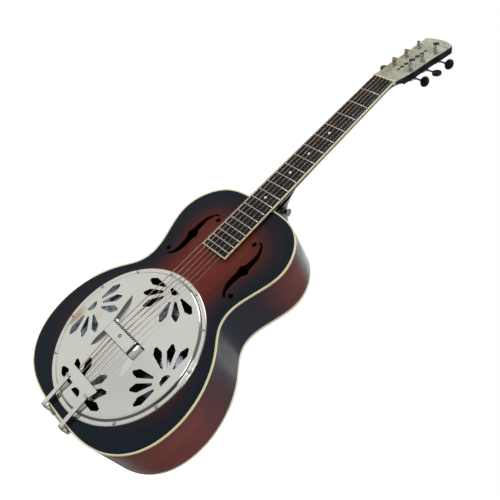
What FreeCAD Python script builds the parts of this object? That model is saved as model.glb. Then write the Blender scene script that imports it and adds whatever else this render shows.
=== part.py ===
import FreeCAD, Part
import math
import os
import Sketcher

# Resonator guitar, wooden body, single cone.
# World frame: +Z runs up the neck from the tail, +X is the treble side, the face looks to -Y.
# The origin is on the centreline at the tail, at mid depth of the ribs.
# Most pieces are drawn in the face frame: x across, y up the neck, z out of the soundboard,
# with z = 0 on the soundboard's outer surface. Dimensions are in millimetres.

Vector = FreeCAD.Vector
Placement = FreeCAD.Placement
Rotation = FreeCAD.Rotation

ORIGIN = Vector(0, 0, 0)
X_DIR = Vector(1, 0, 0)
Y_DIR = Vector(0, 1, 0)
Z_DIR = Vector(0, 0, 1)

doc = FreeCAD.newDocument("resonator_guitar")
sheet = doc.addObject("Spreadsheet::Sheet", "sizes")

# alias, value, note
SIZES = [
    ("scale_length", 635.0, "nut to saddle"),
    ("saddle_place", 147.5, "saddle line above the tail"),
    ("body_length", 465.1, "tail to neck joint"),
    ("half_depth", 49.25, "half of the rib depth at the tail"),
    ("back_taper", 1.17, "degrees, back closes in towards the neck"),
    ("top_thick", 3.0, "soundboard"),
    ("back_thick", 3.0, "back"),
    ("rib_thick", 2.5, "bent side"),
    ("binding_wide", 2.4, "binding seen on the face"),
    ("binding_tall", 3.0, "binding seen on the side"),
    ("lining_wide", 6.0, "kerfed lining"),
    ("lining_tall", 14.0, "kerfed lining"),
    ("cover_centre", 149.7, "coverplate centre above the tail"),
    ("cover_radius", 135.7, "coverplate outer radius"),
    ("cover_gauge", 1.0, "coverplate sheet"),
    ("cover_screw_circle", 131.5, "radius of the coverplate screws"),
    ("cover_screw_count", 12, "coverplate screws"),
    ("cover_screw_start", 15, "degrees, first coverplate screw"),
    ("cover_screw_radius", 1.2, "coverplate screw and its pilot hole"),
    ("cover_hole_radius", 1.5, "screw hole in the coverplate"),
    ("fan_circle", 109.0, "radius of the fan centres"),
    ("fan_count", 4, "fans"),
    ("window_half_long", 31.5, "half of the saddle window across the strings"),
    ("window_half_wide", 9, "half of the saddle window along the strings"),
    ("well_bore", 124.0, "soundwell inner radius"),
    ("well_outer", 136.0, "soundwell outer radius"),
    ("well_ledge", 114.0, "soundwell ledge inner radius"),
    ("well_deep", 45.0, "soundwell depth under the face"),
    ("cone_radius", 120.6, "cone rim radius"),
    ("cone_seat", 31.8, "cone rim depth under the face"),
    ("cone_top", 4.0, "cone crown depth under the face"),
    ("cone_gauge", 0.8, "cone sheet"),
    ("biscuit_radius", 31.75, "biscuit"),
    ("biscuit_thick", 9.5, "biscuit"),
    ("biscuit_screw", 1.5, "biscuit screw radius"),
    ("biscuit_screw_tip", 1.5, "biscuit screw end over the face"),
    ("saddle_slot", 3.5, "saddle slot depth in the biscuit"),
    ("saddle_long", 58.0, "saddle"),
    ("saddle_thick", 3.0, "saddle"),
    ("string_lift", 13.8, "string height over the face at the saddle"),
    ("fret_plane", 9.2, "fret tops over the face"),
    ("board_thick", 8.0, "fingerboard crown over the face"),
    ("board_lift", 4.0, "fingerboard underside above the soundboard plane"),
    ("board_round", 304.8, "fingerboard radius"),
    ("board_nut_width", 44.5, "fingerboard with binding at the nut"),
    ("board_end_width", 57.8, "fingerboard with binding at its body end"),
    ("board_length", 434.5, "fingerboard"),
    ("board_binding", 1.6, "fingerboard binding"),
    ("fret_count", 19, "frets"),
    ("fret_wide", 2.3, "fret crown width"),
    ("fret_tall", 1.2, "fret crown height"),
    ("nut_thick", 5.0, "nut"),
    ("neck_joint_depth", 17.5, "neck under the fingerboard at the body"),
    ("neck_nut_depth", 14.0, "neck under the fingerboard at the nut"),
    ("tenon_half", 11, "half width of the tenon slot"),
    ("tenon_start", 440, "inner end of the tenon slot above the tail"),
    ("tenon_deep", 60, "floor of the tenon slot under the face"),
    ("tenon_cover", 4, "wood between the soundboard and the tenon slot"),
    ("head_tilt", 13.6, "degrees, headstock leans back"),
    ("head_face", 6.2, "headstock face over the soundboard plane at the nut"),
    ("head_thick", 15.0, "headstock with its face veneer"),
    ("head_veneer", 1.5, "headstock face veneer"),
    ("post_spread", 18.2, "tuner posts from the centreline"),
    ("post_radius", 3.1, "tuner post"),
    ("post_tall", 13.5, "tuner post over the headstock face"),
    ("bushing_radius", 4.2, "tuner bushing"),
    ("worm_offset", 7.15, "worm axis from the post axis"),
    ("worm_level", 19.0, "worm axis under the headstock face"),
    ("gear_teeth", 14, "teeth on each gear wheel"),
    ("gear_module", 0.75, "tooth module"),
    ("shaft_radius", 1.2, "worm shaft in its bearings"),
    ("run_gap", 0.05, "radial running clearance"),
    ("button_reach", 27.3, "button centre out from the post axis"),
    ("button_long", 16.0, "button along its shaft"),
    ("button_wide", 19.0, "button across its shaft"),
    ("button_thick", 7.5, "button"),
    ("pin_radius", 1.6, "tailpiece hinge pin"),
    ("pin_drop", 12.0, "hinge pin under the face"),
    ("pin_out", 5.0, "hinge pin beyond the tail"),
    ("rest_height", 22.5, "hand rest top over the face"),
    ("rest_gauge", 1.5, "hand rest sheet"),
    ("rest_wide", 25.0, "hand rest along the strings"),
    ("button_head_radius", 7.0, "strap button flange"),
    ("button_waist_radius", 4.2, "strap button waist"),
    ("strap_button_tall", 12.0, "strap button"),
]
for row, (alias, value, note) in enumerate(SIZES, 1):
    sheet.set("A%d" % row, note)
    sheet.set("B%d" % row, str(value))
    sheet.setAlias("B%d" % row, alias)
doc.recompute()


def size(alias):
    return float(sheet.get(alias))


# ---------------------------------------------------------------- shared places and frames
HALF_DEPTH = size("half_depth")
TOP_THICK = size("top_thick")
BACK_THICK = size("back_thick")
COVER_Y = size("cover_centre")
SADDLE_Y = size("saddle_place")
NUT_Y = SADDLE_Y + size("scale_length")
NUT_FAR_Y = NUT_Y + size("nut_thick")
JOINT_Y = size("body_length") + 0.05
BOARD_END_Y = NUT_Y - size("board_length")
LIFT = size("board_lift")
HEAD_THICK = size("head_thick")
VENEER = size("head_veneer")
TAPER = math.radians(size("back_taper"))

FACE = Placement(Vector(0, -HALF_DEPTH, 0), Rotation(X_DIR, 90))
BACK = Placement(Vector(0, HALF_DEPTH, 0), Rotation(X_DIR, 90 + size("back_taper")))
BACK_IN_FACE = FACE.inverse().multiply(BACK)
HEAD_IN_FACE = Placement(Vector(0, NUT_Y, size("head_face")), Rotation(X_DIR, -size("head_tilt")))

FLOOR = -130           # face-frame level below the whole body
TAIL_SEAT = 0.15       # y of the surface that fittings at the tail sit on
WOOD_SCREW = 1.7       # shank radius of the wood screws and their pilots
WOOD_HEAD = 3.4        # head radius of the wood screws
BRACKET_SCREWS = [(-12.0, -24.0), (12.0, -24.0), (0.0, -33.0)]  # x, z

# x, y of the coverplate screws from the coverplate centre
COVER_SCREWS = []
for i in range(int(size("cover_screw_count"))):
    angle = math.radians(size("cover_screw_start") + 360.0 / size("cover_screw_count") * i)
    circle_radius = size("cover_screw_circle")
    COVER_SCREWS.append((circle_radius * math.cos(angle), circle_radius * math.sin(angle)))

PIECES = []


# ---------------------------------------------------------------- body helpers
def new_body(label):
    body = doc.addObject("PartDesign::Body", label + "_body")
    body.Label = label
    return body


def keep_in_face(body, up_neck=None):
    # up_neck: expression for the local origin's place along the centreline
    body.Placement = FACE
    body.setExpression("Placement.Base.y", "-sizes.half_depth")
    if up_neck:
        body.setExpression("Placement.Base.z", up_neck)
    PIECES.append(body)


def keep_in_back(body):
    body.Placement = BACK
    body.setExpression("Placement.Base.y", "sizes.half_depth")
    PIECES.append(body)


def origin_of(body, role):
    for item in body.Origin.OriginFeatures:
        if item.Role == role:
            return item
    raise RuntimeError("no " + role)


def new_sketch(body, name, role="XY_Plane", lift=None):
    sketch = body.newObject("Sketcher::SketchObject", name)
    sketch.AttachmentSupport = [(origin_of(body, role), "")]
    sketch.MapMode = "FlatFace"
    if lift is not None:
        sketch.AttachmentOffset = Placement(ORIGIN, Rotation())
        sketch.setExpression("AttachmentOffset.Base.z", lift)
    return sketch


def pad(body, name, profile, length, reverse=False):
    solid = body.newObject("PartDesign::Pad", name)
    solid.Profile = profile
    solid.Length = 1.0
    solid.setExpression("Length", length)
    solid.Reversed = reverse


def pocket(body, name, profile, length=None, symmetric=False, reverse=False):
    # without a length the cut goes through everything
    cut = body.newObject("PartDesign::Pocket", name)
    cut.Profile = profile
    if length is None:
        cut.Type = "ThroughAll"
    else:
        cut.Type = "Length"
        cut.Length = length
    if symmetric:
        cut.SideType = "Symmetric"
    cut.Reversed = reverse
    return cut


def pocket_through(body, name, profile):
    return pocket(body, name, profile, symmetric=True)


def revolve(body, name, profile):
    solid = body.newObject("PartDesign::Revolution", name)
    solid.Profile = profile
    solid.ReferenceAxis = (origin_of(body, "Z_Axis"), [""])
    solid.Angle = 360.0


def ring_of(body, name, original, count):
    pattern = body.newObject("PartDesign::PolarPattern", name)
    pattern.Originals = [original]
    pattern.Axis = (origin_of(body, "Z_Axis"), [""])
    pattern.Angle = 360.0
    pattern.setExpression("Occurrences", count)
    body.Tip = pattern


# ---------------------------------------------------------------- sketch helpers
def drive(sketch, constraint, expression):
    index = sketch.addConstraint(constraint)
    name = "driven_%d" % index
    sketch.renameConstraint(index, name)
    sketch.setExpression("Constraints." + name, expression)


def locate(sketch, line, end, axis, expression):
    # ties one point of a sketch to the origin; distances must be positive, so a
    # negative place is measured from the point to the origin
    place = value_of(expression)
    kind = "Distance" + axis
    if abs(place) < 1e-9:
        other_axis = -2 if axis == "X" else -1
        sketch.addConstraint(Sketcher.Constraint("PointOnObject", line, end, other_axis))
    elif place > 0:
        drive(sketch, Sketcher.Constraint(kind, -1, 1, line, end, place), expression)
    else:
        constraint = Sketcher.Constraint(kind, line, end, -1, 1, -place)
        drive(sketch, constraint, "-(" + expression + ")")


def value_of(expression):
    # the spreadsheet works out expressions written in its own aliases
    return float(sheet.evalExpression(expression.replace("sizes.", "")))


def plain_circle(sketch, radius, x, y):
    return sketch.addGeometry(Part.Circle(Vector(x, y, 0), Z_DIR, radius), False)


def circle(sketch, radius, x="0", y="0"):
    # radius and centre are expressions
    radius_now = value_of(radius)
    ring = plain_circle(sketch, radius_now, value_of(x), value_of(y))
    drive(sketch, Sketcher.Constraint("Radius", ring, radius_now), radius)
    locate(sketch, ring, 3, "X", x)
    locate(sketch, ring, 3, "Y", y)


def polygon(sketch, points):
    count = len(points)
    lines = []
    for i in range(count):
        start = Vector(*points[i], 0)
        end = Vector(*points[(i + 1) % count], 0)
        lines.append(sketch.addGeometry(Part.LineSegment(start, end), False))
    for i in range(count):
        joint = Sketcher.Constraint("Coincident", lines[i], 2, lines[(i + 1) % count], 1)
        sketch.addConstraint(joint)
    return lines


def rectangle(sketch, x_low, y_low, x_high, y_high):
    # the four bounds are expressions
    left, low, right, high = [value_of(e) for e in (x_low, y_low, x_high, y_high)]
    lines = polygon(sketch, [(left, low), (right, low), (right, high), (left, high)])
    for i in (0, 2):
        sketch.addConstraint(Sketcher.Constraint("Horizontal", lines[i]))
    for i in (1, 3):
        sketch.addConstraint(Sketcher.Constraint("Vertical", lines[i]))
    locate(sketch, lines[0], 1, "X", x_low)
    locate(sketch, lines[0], 1, "Y", y_low)
    locate(sketch, lines[2], 1, "X", x_high)
    locate(sketch, lines[2], 1, "Y", y_high)


# ---------------------------------------------------------------- solid helpers
def feature(label, shape, frame=FACE):
    piece = doc.addObject("Part::Feature", label + "_piece")
    piece.Label = label
    piece.Shape = shape
    piece.Placement = frame
    PIECES.append(piece)


def bundle(shapes):
    return Part.makeCompound([solid for shape in shapes for solid in shape.Solids])


def largest(shape):
    return max(shape.Solids, key=lambda solid: solid.Volume)


def cylinder(radius, length, base=ORIGIN, axis=Z_DIR):
    return Part.makeCylinder(radius, length, base, axis)


def block(x0, x1, y0, y1, z0, z1):
    return Part.makeBox(x1 - x0, y1 - y0, z1 - z0, Vector(x0, y0, z0))


def flat(points):
    return Part.Face(Part.makePolygon(points + [points[0]]))


def turned(profile, base=ORIGIN, axis=Z_DIR):
    # solid of revolution from (radius, height) pairs, standing on base along axis
    solid = flat([Vector(r, 0, z) for r, z in profile]).revolve(ORIGIN, Z_DIR, 360)
    solid.Placement = Placement(base, Rotation(Z_DIR, axis))
    return solid


def moved(shape, frame):
    copy = shape.copy()
    copy.Placement = frame.multiply(copy.Placement)
    return copy


def up_neck(y):
    return Placement(Vector(0, y, 0), Rotation())


def curve_through(points, closed=False):
    curve = Part.BSplineCurve()
    curve.interpolate(Points=points, PeriodicFlag=closed)
    return curve


def spline(points, closed=True):
    return curve_through([Vector(x, y, 0) for x, y in points], closed)


def slab(curves, z0, z1):
    # straight-sided plate between two levels, bounded by a closed run of curves
    face = Part.Face(Part.Wire([curve.toShape() for curve in curves]))
    face.translate(Vector(0, 0, z0))
    return face.extrude(Vector(0, 0, z1 - z0))


# ---------------------------------------------------------------- body outline
# x, y of the treble half, from the neck joint clockwise to the tail
HALF_OUTLINE = [
    (0.0, 465.1), (17.5, 465.1), (35.0, 465.0), (52.4, 463.7), (69.5, 460.2), (85.6, 453.5),
    (99.6, 443.1), (111.1, 429.9), (119.7, 414.7), (125.1, 398.1), (126.7, 380.7),
    (124.3, 363.4), (119.5, 346.6), (113.7, 330.1), (108.2, 313.5), (104.6, 296.4),
    (104.7, 279.0), (110.1, 262.4), (120.0, 248.1), (131.6, 235.0), (142.6, 221.5),
    (152.2, 206.8), (160.2, 191.3), (166.6, 175.0), (171.2, 158.1), (173.9, 140.9),
    (174.7, 123.4), (173.4, 106.0), (170.1, 88.8), (164.5, 72.3), (156.5, 56.7),
    (146.1, 42.7), (133.5, 30.6), (119.2, 20.6), (103.5, 13.0), (86.9, 7.5), (69.8, 3.9),
    (52.4, 1.7), (35.0, 0.6), (17.5, 0.2), (0.0, 0.2),
]
OUTLINE = spline(HALF_OUTLINE + [(-x, y) for x, y in HALF_OUTLINE[-2:0:-1]])


def inset(distance, count=128):
    # the outline moved inwards, to the right of its clockwise run
    first, last = OUTLINE.FirstParameter, OUTLINE.LastParameter
    points = []
    for i in range(count):
        parameter = first + (last - first) * i / count
        point = OUTLINE.value(parameter)
        tangent = OUTLINE.tangent(parameter)[0]
        points.append((point.x + tangent.y * distance, point.y - tangent.x * distance))
    return spline(points)


RIB_INSIDE = inset(size("rib_thick"))
LINING_INSIDE = inset(size("rib_thick") + size("lining_wide"))


def back_level(y):
    # face-frame z of the back plate's inner surface
    return -2 * HALF_DEPTH + y * math.tan(TAPER) + BACK_THICK / math.cos(TAPER)


def under_back(shape):
    # trims a face-frame solid to the space in front of the back plate
    low, high = -20, 490
    wedge = flat([
        Vector(-250, low, back_level(low)), Vector(-250, high, back_level(high)),
        Vector(-250, high, -160), Vector(-250, low, -160),
    ]).extrude(Vector(500, 0, 0))
    return shape.cut(wedge)


# ---------------------------------------------------------------- soundboard
# x, y round the treble f-slot
F_SLOT = [
    (51.2, 405.8), (57.6, 406.2), (63.2, 401.8), (68.5, 394.4), (72.4, 385.8), (74.3, 376.4),
    (75.3, 366.0), (76.2, 358.0), (78.6, 351.2), (74.6, 345.2), (71.9, 336.0), (70.8, 326.0),
    (71.0, 316.0), (73.0, 307.4), (78.6, 299.8), (73.0, 300.6), (67.0, 306.0), (61.6, 314.4),
    (59.0, 325.4), (58.7, 336.0), (58.9, 346.0), (57.3, 355.6), (61.6, 361.0), (63.4, 369.4),
    (64.1, 380.0), (63.4, 391.0), (60.2, 398.4), (56.4, 402.6),
]
F_DOTS = [(47.0, 397.9, 4.3), (84.4, 308.1, 4.5)]  # x, y, radius


def make_top_plate():
    top = new_body("top_plate")
    sketch = new_sketch(top, "top_outline")
    sketch.addGeometry(inset(size("binding_wide")), False)
    pad(top, "top_pad", sketch, "sizes.top_thick", reverse=True)
    sketch = new_sketch(top, "top_well_hole")
    circle(sketch, "sizes.well_bore", "0", "sizes.cover_centre")
    pocket_through(top, "top_well", sketch)
    for side, tag in ((1, "treble"), (-1, "bass")):
        sketch = new_sketch(top, "f_slot_" + tag)
        sketch.addGeometry(spline([(side * x, y) for x, y in F_SLOT]), False)
        pocket_through(top, "f_cut_" + tag, sketch)
        for j, (x, y, radius) in enumerate(F_DOTS):
            sketch = new_sketch(top, "f_dot_%s_%d" % (tag, j))
            plain_circle(sketch, radius, side * x, y)
            pocket_through(top, "f_dot_cut_%s_%d" % (tag, j), sketch)
    sketch = new_sketch(top, "top_screw_hole")
    circle(
        sketch, "sizes.cover_screw_radius",
        "sizes.cover_screw_circle * cos(sizes.cover_screw_start)",
        "sizes.cover_centre + sizes.cover_screw_circle * sin(sizes.cover_screw_start)",
    )
    for x, y in COVER_SCREWS[1:]:
        plain_circle(sketch, size("cover_screw_radius"), x, COVER_Y + y)
    pocket_through(top, "top_screw_holes", sketch)
    keep_in_face(top)


# ---------------------------------------------------------------- binding, back and ribs
def make_binding(label, reverse):
    binding = new_body(label)
    sketch = new_sketch(binding, label + "_ring")
    sketch.addGeometry(OUTLINE, False)
    sketch.addGeometry(inset(size("binding_wide")), False)
    pad(binding, label + "_pad", sketch, "sizes.binding_tall", reverse)
    return binding


def make_back_plate():
    back = new_body("back_plate")
    sketch = new_sketch(back, "back_outline")
    sketch.addGeometry(inset(size("binding_wide")), False)
    pad(back, "back_pad", sketch, "sizes.back_thick")
    keep_in_back(back)


def make_ribs():
    ribs = new_body("side_ribs")
    sketch = new_sketch(ribs, "rib_ring", lift="-sizes.top_thick")
    sketch.addGeometry(OUTLINE, False)
    sketch.addGeometry(inset(size("rib_thick")), False)
    pad(ribs, "rib_pad", sketch, "2 * sizes.half_depth - sizes.top_thick", reverse=True)
    sketch = new_sketch(ribs, "rib_back_slope", "YZ_Plane")
    slope = [(-20, back_level(-20)), (490, back_level(490))]
    polygon(sketch, slope + [(490, FLOOR), (-20, FLOOR)])
    pocket_through(ribs, "rib_taper", sketch)
    # opening for the neck tenon
    sketch = new_sketch(ribs, "rib_tenon_slot", "XZ_Plane", lift="-sizes.tenon_start")
    rectangle(sketch, "-sizes.tenon_half", "-sizes.tenon_deep",
              "sizes.tenon_half", "-sizes.top_thick - sizes.tenon_cover")
    pocket(ribs, "rib_tenon", sketch)
    # screw holes at the tail: strap button, then bracket
    holes = [(0.0, -HALF_DEPTH, WOOD_SCREW)] + [(x, z, 2.05) for x, z in BRACKET_SCREWS]
    for j, (x, z, radius) in enumerate(holes):
        sketch = new_sketch(ribs, "rib_pilot_%d" % j, "XZ_Plane")
        plain_circle(sketch, radius, x, z)
        pocket(ribs, "rib_pilot_cut_%d" % j, sketch, length=40.0, symmetric=True)
    keep_in_face(ribs)


make_top_plate()
keep_in_face(make_binding("top_binding", reverse=True))
keep_in_back(make_binding("back_binding", reverse=False))
make_back_plate()
make_ribs()


# ---------------------------------------------------------------- linings, blocks and braces
def make_linings():
    neck_zone = block(-37, 37, 405, 470, FLOOR, 20)
    tail_zone = block(-46, 46, -5, 14.0, FLOOR, 20)
    tall = size("lining_tall")
    top = slab([RIB_INSIDE], -TOP_THICK - tall, -TOP_THICK).cut(slab([LINING_INSIDE], -60, 10))
    top = top.cut(neck_zone).cut(tail_zone)
    back = slab([RIB_INSIDE], BACK_THICK, BACK_THICK + tall).cut(slab([LINING_INSIDE], -10, 60))
    back = moved(back, BACK_IN_FACE).common(slab([RIB_INSIDE], FLOOR, 10))
    back = under_back(back.cut(neck_zone).cut(tail_zone))
    feature("linings", bundle([top, back]))
    return top.Solids + back.Solids


def make_tail_block():
    wood = block(-45.5, 45.5, -2, 13.3, FLOOR, -TOP_THICK).common(slab([RIB_INSIDE], FLOOR, 10))
    wood = under_back(wood)
    for x, z in BRACKET_SCREWS + [(0, -HALF_DEPTH)]:
        wood = wood.cut(cylinder(WOOD_SCREW, 12.0, Vector(x, -1.3, z), Y_DIR))
    feature("tail_block", wood)


def tenon_block(y0, y1, side_gap=0.0, floor_gap=0.0, top_gap=0.0):
    half = size("tenon_half") - side_gap
    return block(-half, half, y0, y1, -size("tenon_deep") + floor_gap,
                 -TOP_THICK - size("tenon_cover") - top_gap)


def make_neck_block():
    wood = block(-36.5, 36.5, 405.5, 470, FLOOR, -TOP_THICK).common(slab([RIB_INSIDE], FLOOR, 10))
    wood = under_back(wood)
    wood = wood.cut(tenon_block(size("tenon_start"), size("body_length") + 2))
    feature("neck_block", wood)


def make_braces(linings):
    well = cylinder(size("well_outer") + 0.3, 100, Vector(0, COVER_Y, -100))
    inner_space = slab([LINING_INSIDE], FLOOR, 10)
    top_bar = block(-96, 96, 292.5 - 4, 292.5 + 4, -TOP_THICK - 11, -TOP_THICK)
    bars = top_bar.common(inner_space).cut(well).Solids
    for y in (70.0, 175.0, 290.0, 380.0):
        bar = block(-180, 180, y - 5, y + 5, BACK_THICK, BACK_THICK + 12)
        bar = moved(bar, BACK_IN_FACE).common(inner_space)
        bars += under_back(bar).Solids
    trimmed = []
    for bar in bars:
        for lining in linings:
            if bar.BoundBox.intersect(lining.BoundBox):
                bar = bar.cut(lining)
        trimmed.append(largest(bar))
    feature("braces", Part.makeCompound(trimmed))


make_braces(make_linings())
make_tail_block()
make_neck_block()


# ---------------------------------------------------------------- soundwell, cone and biscuit
def make_soundwell():
    well = new_body("soundwell")
    bore, outer, ledge = size("well_bore"), size("well_outer"), size("well_ledge")
    deep, seat = size("well_deep"), size("cone_seat")
    sketch = new_sketch(well, "well_profile", "XZ_Plane")
    polygon(sketch, [
        (bore, -TOP_THICK), (outer, -TOP_THICK), (outer, -deep),
        (ledge, -deep), (ledge, -seat), (bore, -seat),
    ])
    revolve(well, "well_turn", sketch)
    sketch = new_sketch(well, "well_pilot")
    for x, y in COVER_SCREWS:
        plain_circle(sketch, size("cover_screw_radius"), x, y)
    pocket(well, "well_pilots", sketch, length=12.0)
    keep_in_face(well, "sizes.cover_centre")


def make_cone():
    gauge, seat, crown = size("cone_gauge"), size("cone_seat"), size("cone_top")
    foot, shoulder = 114.5, 24.0  # radii where the slope starts and ends
    under = [(size("cone_radius"), -seat), (116.0, -seat)]
    for i in range(13):
        part = i / 12.0
        rise = (seat - crown - 2 * gauge) * (part ** 0.92)
        under.append((foot + (shoulder - foot) * part, -seat + gauge + rise))
    under += [(22.0, -crown - gauge), (size("biscuit_screw"), -crown - gauge)]
    over = [(r, z + gauge) for r, z in under]
    cone = new_body("resonator_cone")
    sketch = new_sketch(cone, "cone_profile", "XZ_Plane")
    polygon(sketch, under + over[::-1])
    revolve(cone, "cone_spin", sketch)
    keep_in_face(cone, "sizes.cover_centre")


def make_biscuit():
    biscuit = new_body("biscuit")
    sketch = new_sketch(biscuit, "biscuit_round", lift="-sizes.cone_top")
    circle(sketch, "sizes.biscuit_radius")
    pad(biscuit, "biscuit_pad", sketch, "sizes.biscuit_thick")
    sketch = new_sketch(biscuit, "biscuit_slot",
                        lift="sizes.biscuit_thick - sizes.cone_top - sizes.saddle_slot")
    rectangle(
        sketch,
        "-sizes.saddle_long / 2",
        "sizes.saddle_place - sizes.cover_centre - sizes.saddle_thick / 2",
        "sizes.saddle_long / 2",
        "sizes.saddle_place - sizes.cover_centre + sizes.saddle_thick / 2",
    )
    pocket(biscuit, "biscuit_slot_cut", sketch, length=10.0, reverse=True)
    sketch = new_sketch(biscuit, "biscuit_pilot", lift="sizes.biscuit_screw_tip")
    circle(sketch, "sizes.biscuit_screw")
    pocket(biscuit, "biscuit_pilot_cut", sketch, length=9.0)
    keep_in_face(biscuit, "sizes.cover_centre")


def make_biscuit_screw():
    # its head bears on the underside of the cone's crown
    seat = -(size("cone_top") + size("cone_gauge"))
    length = size("biscuit_screw_tip") - seat
    shank = cylinder(size("biscuit_screw"), length, Vector(0, COVER_Y, seat))
    head_profile = [(0, seat - 2.4), (2.6, seat - 1.8), (3.6, seat), (0, seat)]
    head = turned(head_profile, Vector(0, COVER_Y, 0))
    feature("biscuit_screw", shank.fuse(head).removeSplitter())


make_soundwell()
make_cone()
make_biscuit()
make_biscuit_screw()

# ---------------------------------------------------------------- strings
# String 1 is on the treble side.
STRING_NUMBERS = range(1, 7)
STRING_RADIUS = {1: 0.165, 2: 0.216, 3: 0.33, 4: 0.445, 5: 0.57, 6: 0.71}
TAIL_SPACING, SADDLE_SPACING, NUT_SPACING = 9.6, 10.7, 7.5
ANCHOR_Y, ANCHOR_Z = 65.4, 8.2        # string start at the tailpiece
POST_WAIST = 2.6                      # radius of the post where the string meets it
POST_UP = (50.7, 85.2, 121.3)         # posts along the headstock from the nut
POST_OF_STRING = {1: 0, 2: 1, 3: 2, 4: 2, 5: 1, 6: 0}


def post_of(number):
    # side (1 treble, -1 bass) and place along the headstock
    side = 1 if number <= 3 else -1
    return side, POST_UP[POST_OF_STRING[number]]


def string_points(number):
    # tailpiece, saddle, nut, post
    across = 3.5 - number
    side, up = post_of(number)
    radius = STRING_RADIUS[number]
    post_x = side * (size("post_spread") - POST_WAIST - radius - 0.04)
    return [
        Vector(across * TAIL_SPACING, ANCHOR_Y, ANCHOR_Z),
        Vector(across * SADDLE_SPACING, SADDLE_Y, size("string_lift")),
        Vector(across * NUT_SPACING, NUT_Y + 1.2, size("fret_plane") + 0.45 + radius),
        HEAD_IN_FACE.multVec(Vector(post_x, up + 0.6, 6.6)),
    ]


def string_solid(number, grow=0.0, first=0, last=3):
    points = string_points(number)[first:last + 1]
    radius = STRING_RADIUS[number] + grow
    shape = None
    for start, end in zip(points, points[1:]):
        run = cylinder(radius, (end - start).Length, start, end - start)
        shape = run if shape is None else shape.fuse(run)
    for point in points[1:-1]:
        shape = shape.fuse(Part.makeSphere(radius, point))
    return shape


def ball_end(number):
    anchor, at_saddle = string_points(number)[:2]
    ball = cylinder(1.85, 3.4, anchor + Vector(-1.7, -0.35, 0), X_DIR)
    hole_radius = STRING_RADIUS[number] + 0.04
    hole = cylinder(hole_radius, 12, anchor + Vector(0, -0.1, 0), at_saddle - anchor)
    return ball.cut(hole)


feature("wound_strings", bundle([string_solid(n) for n in STRING_NUMBERS if n >= 3]))
feature("plain_strings", bundle([string_solid(n) for n in STRING_NUMBERS if n < 3]))
feature("string_ball_ends", bundle([ball_end(n) for n in STRING_NUMBERS]))


def make_saddle():
    half, crown = size("saddle_long") / 2, size("string_lift")
    foot = size("biscuit_thick") - size("cone_top") - size("saddle_slot")
    outline = [
        (-half, foot), (half, foot), (half, crown - 1.2),
        (half - 4, crown + 0.1), (-half + 4, crown + 0.1), (-half, crown - 1.2),
    ]
    face = flat([Vector(x, 0, z) for x, z in outline])
    face.translate(Vector(0, SADDLE_Y - size("saddle_thick") / 2, 0))
    saddle = face.extrude(Vector(0, size("saddle_thick"), 0))
    for number in STRING_NUMBERS:
        notch_base = Vector((3.5 - number) * SADDLE_SPACING, SADDLE_Y, crown)
        notch = cylinder(STRING_RADIUS[number] + 0.02, 2, notch_base)
        saddle = saddle.cut(string_solid(number, 0.02, 0, 2)).cut(notch)
    feature("saddle", largest(saddle))


make_saddle()

# ---------------------------------------------------------------- coverplate
COVER_GAUGE = size("cover_gauge")
# radius, height of the outer surface: the step at the edge, then the dome
COVER_STEP = [(128.6, 1.0), (127.2, 1.6), (126.2, 2.7), (125.2, 3.7), (123.6, 4.1)]
COVER_DOME = [
    (120.0, 4.15), (112.0, 4.35), (102.0, 4.75), (92.0, 5.25), (80.0, 5.9),
    (66.0, 6.7), (52.0, 7.6), (38.0, 8.35), (20.0, 8.95), (0.0, 9.2),
]
# the inner surface under the step, from the dome outwards
STEP_UNDER = [(123.2, 3.1), (124.3, 2.8), (125.2, 2.0), (126.2, 0.9), (127.6, 0.0)]
COVER_RIM = [
    (size("cover_radius"), 0.0), (size("cover_radius"), COVER_GAUGE * 0.7),
    (size("cover_radius") - 0.5, COVER_GAUGE),
]
COVER_OUTSIDE = COVER_RIM + COVER_STEP + COVER_DOME
# distance from the fan centre, half width, along one petal
PETAL = [(21.0, 1.5), (47.0, 6.9), (57.6, 2.0)]


def petal(angle):
    # one petal of the fan on +x, pointing to the plate centre when the angle is 0
    cosine, sine = math.cos(math.radians(angle)), math.sin(math.radians(angle))
    points = PETAL + [(58.0, 0.0)] + [(reach, -half) for reach, half in PETAL[::-1]]
    return [(size("fan_circle") - reach * cosine - half * sine, -reach * sine + half * cosine)
            for reach, half in points]


def crescent():
    # half-moon at the fan centre, bulging towards the plate centre
    flat_x = size("fan_circle") + 0.8
    arc = [(flat_x - 8.6 * math.sin(math.pi * i / 8.0) - 0.001,
            -10.0 * math.cos(math.pi * i / 8.0)) for i in range(1, 8)]
    return [(flat_x, -10.0)] + arc + [(flat_x, 10.0)]


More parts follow.
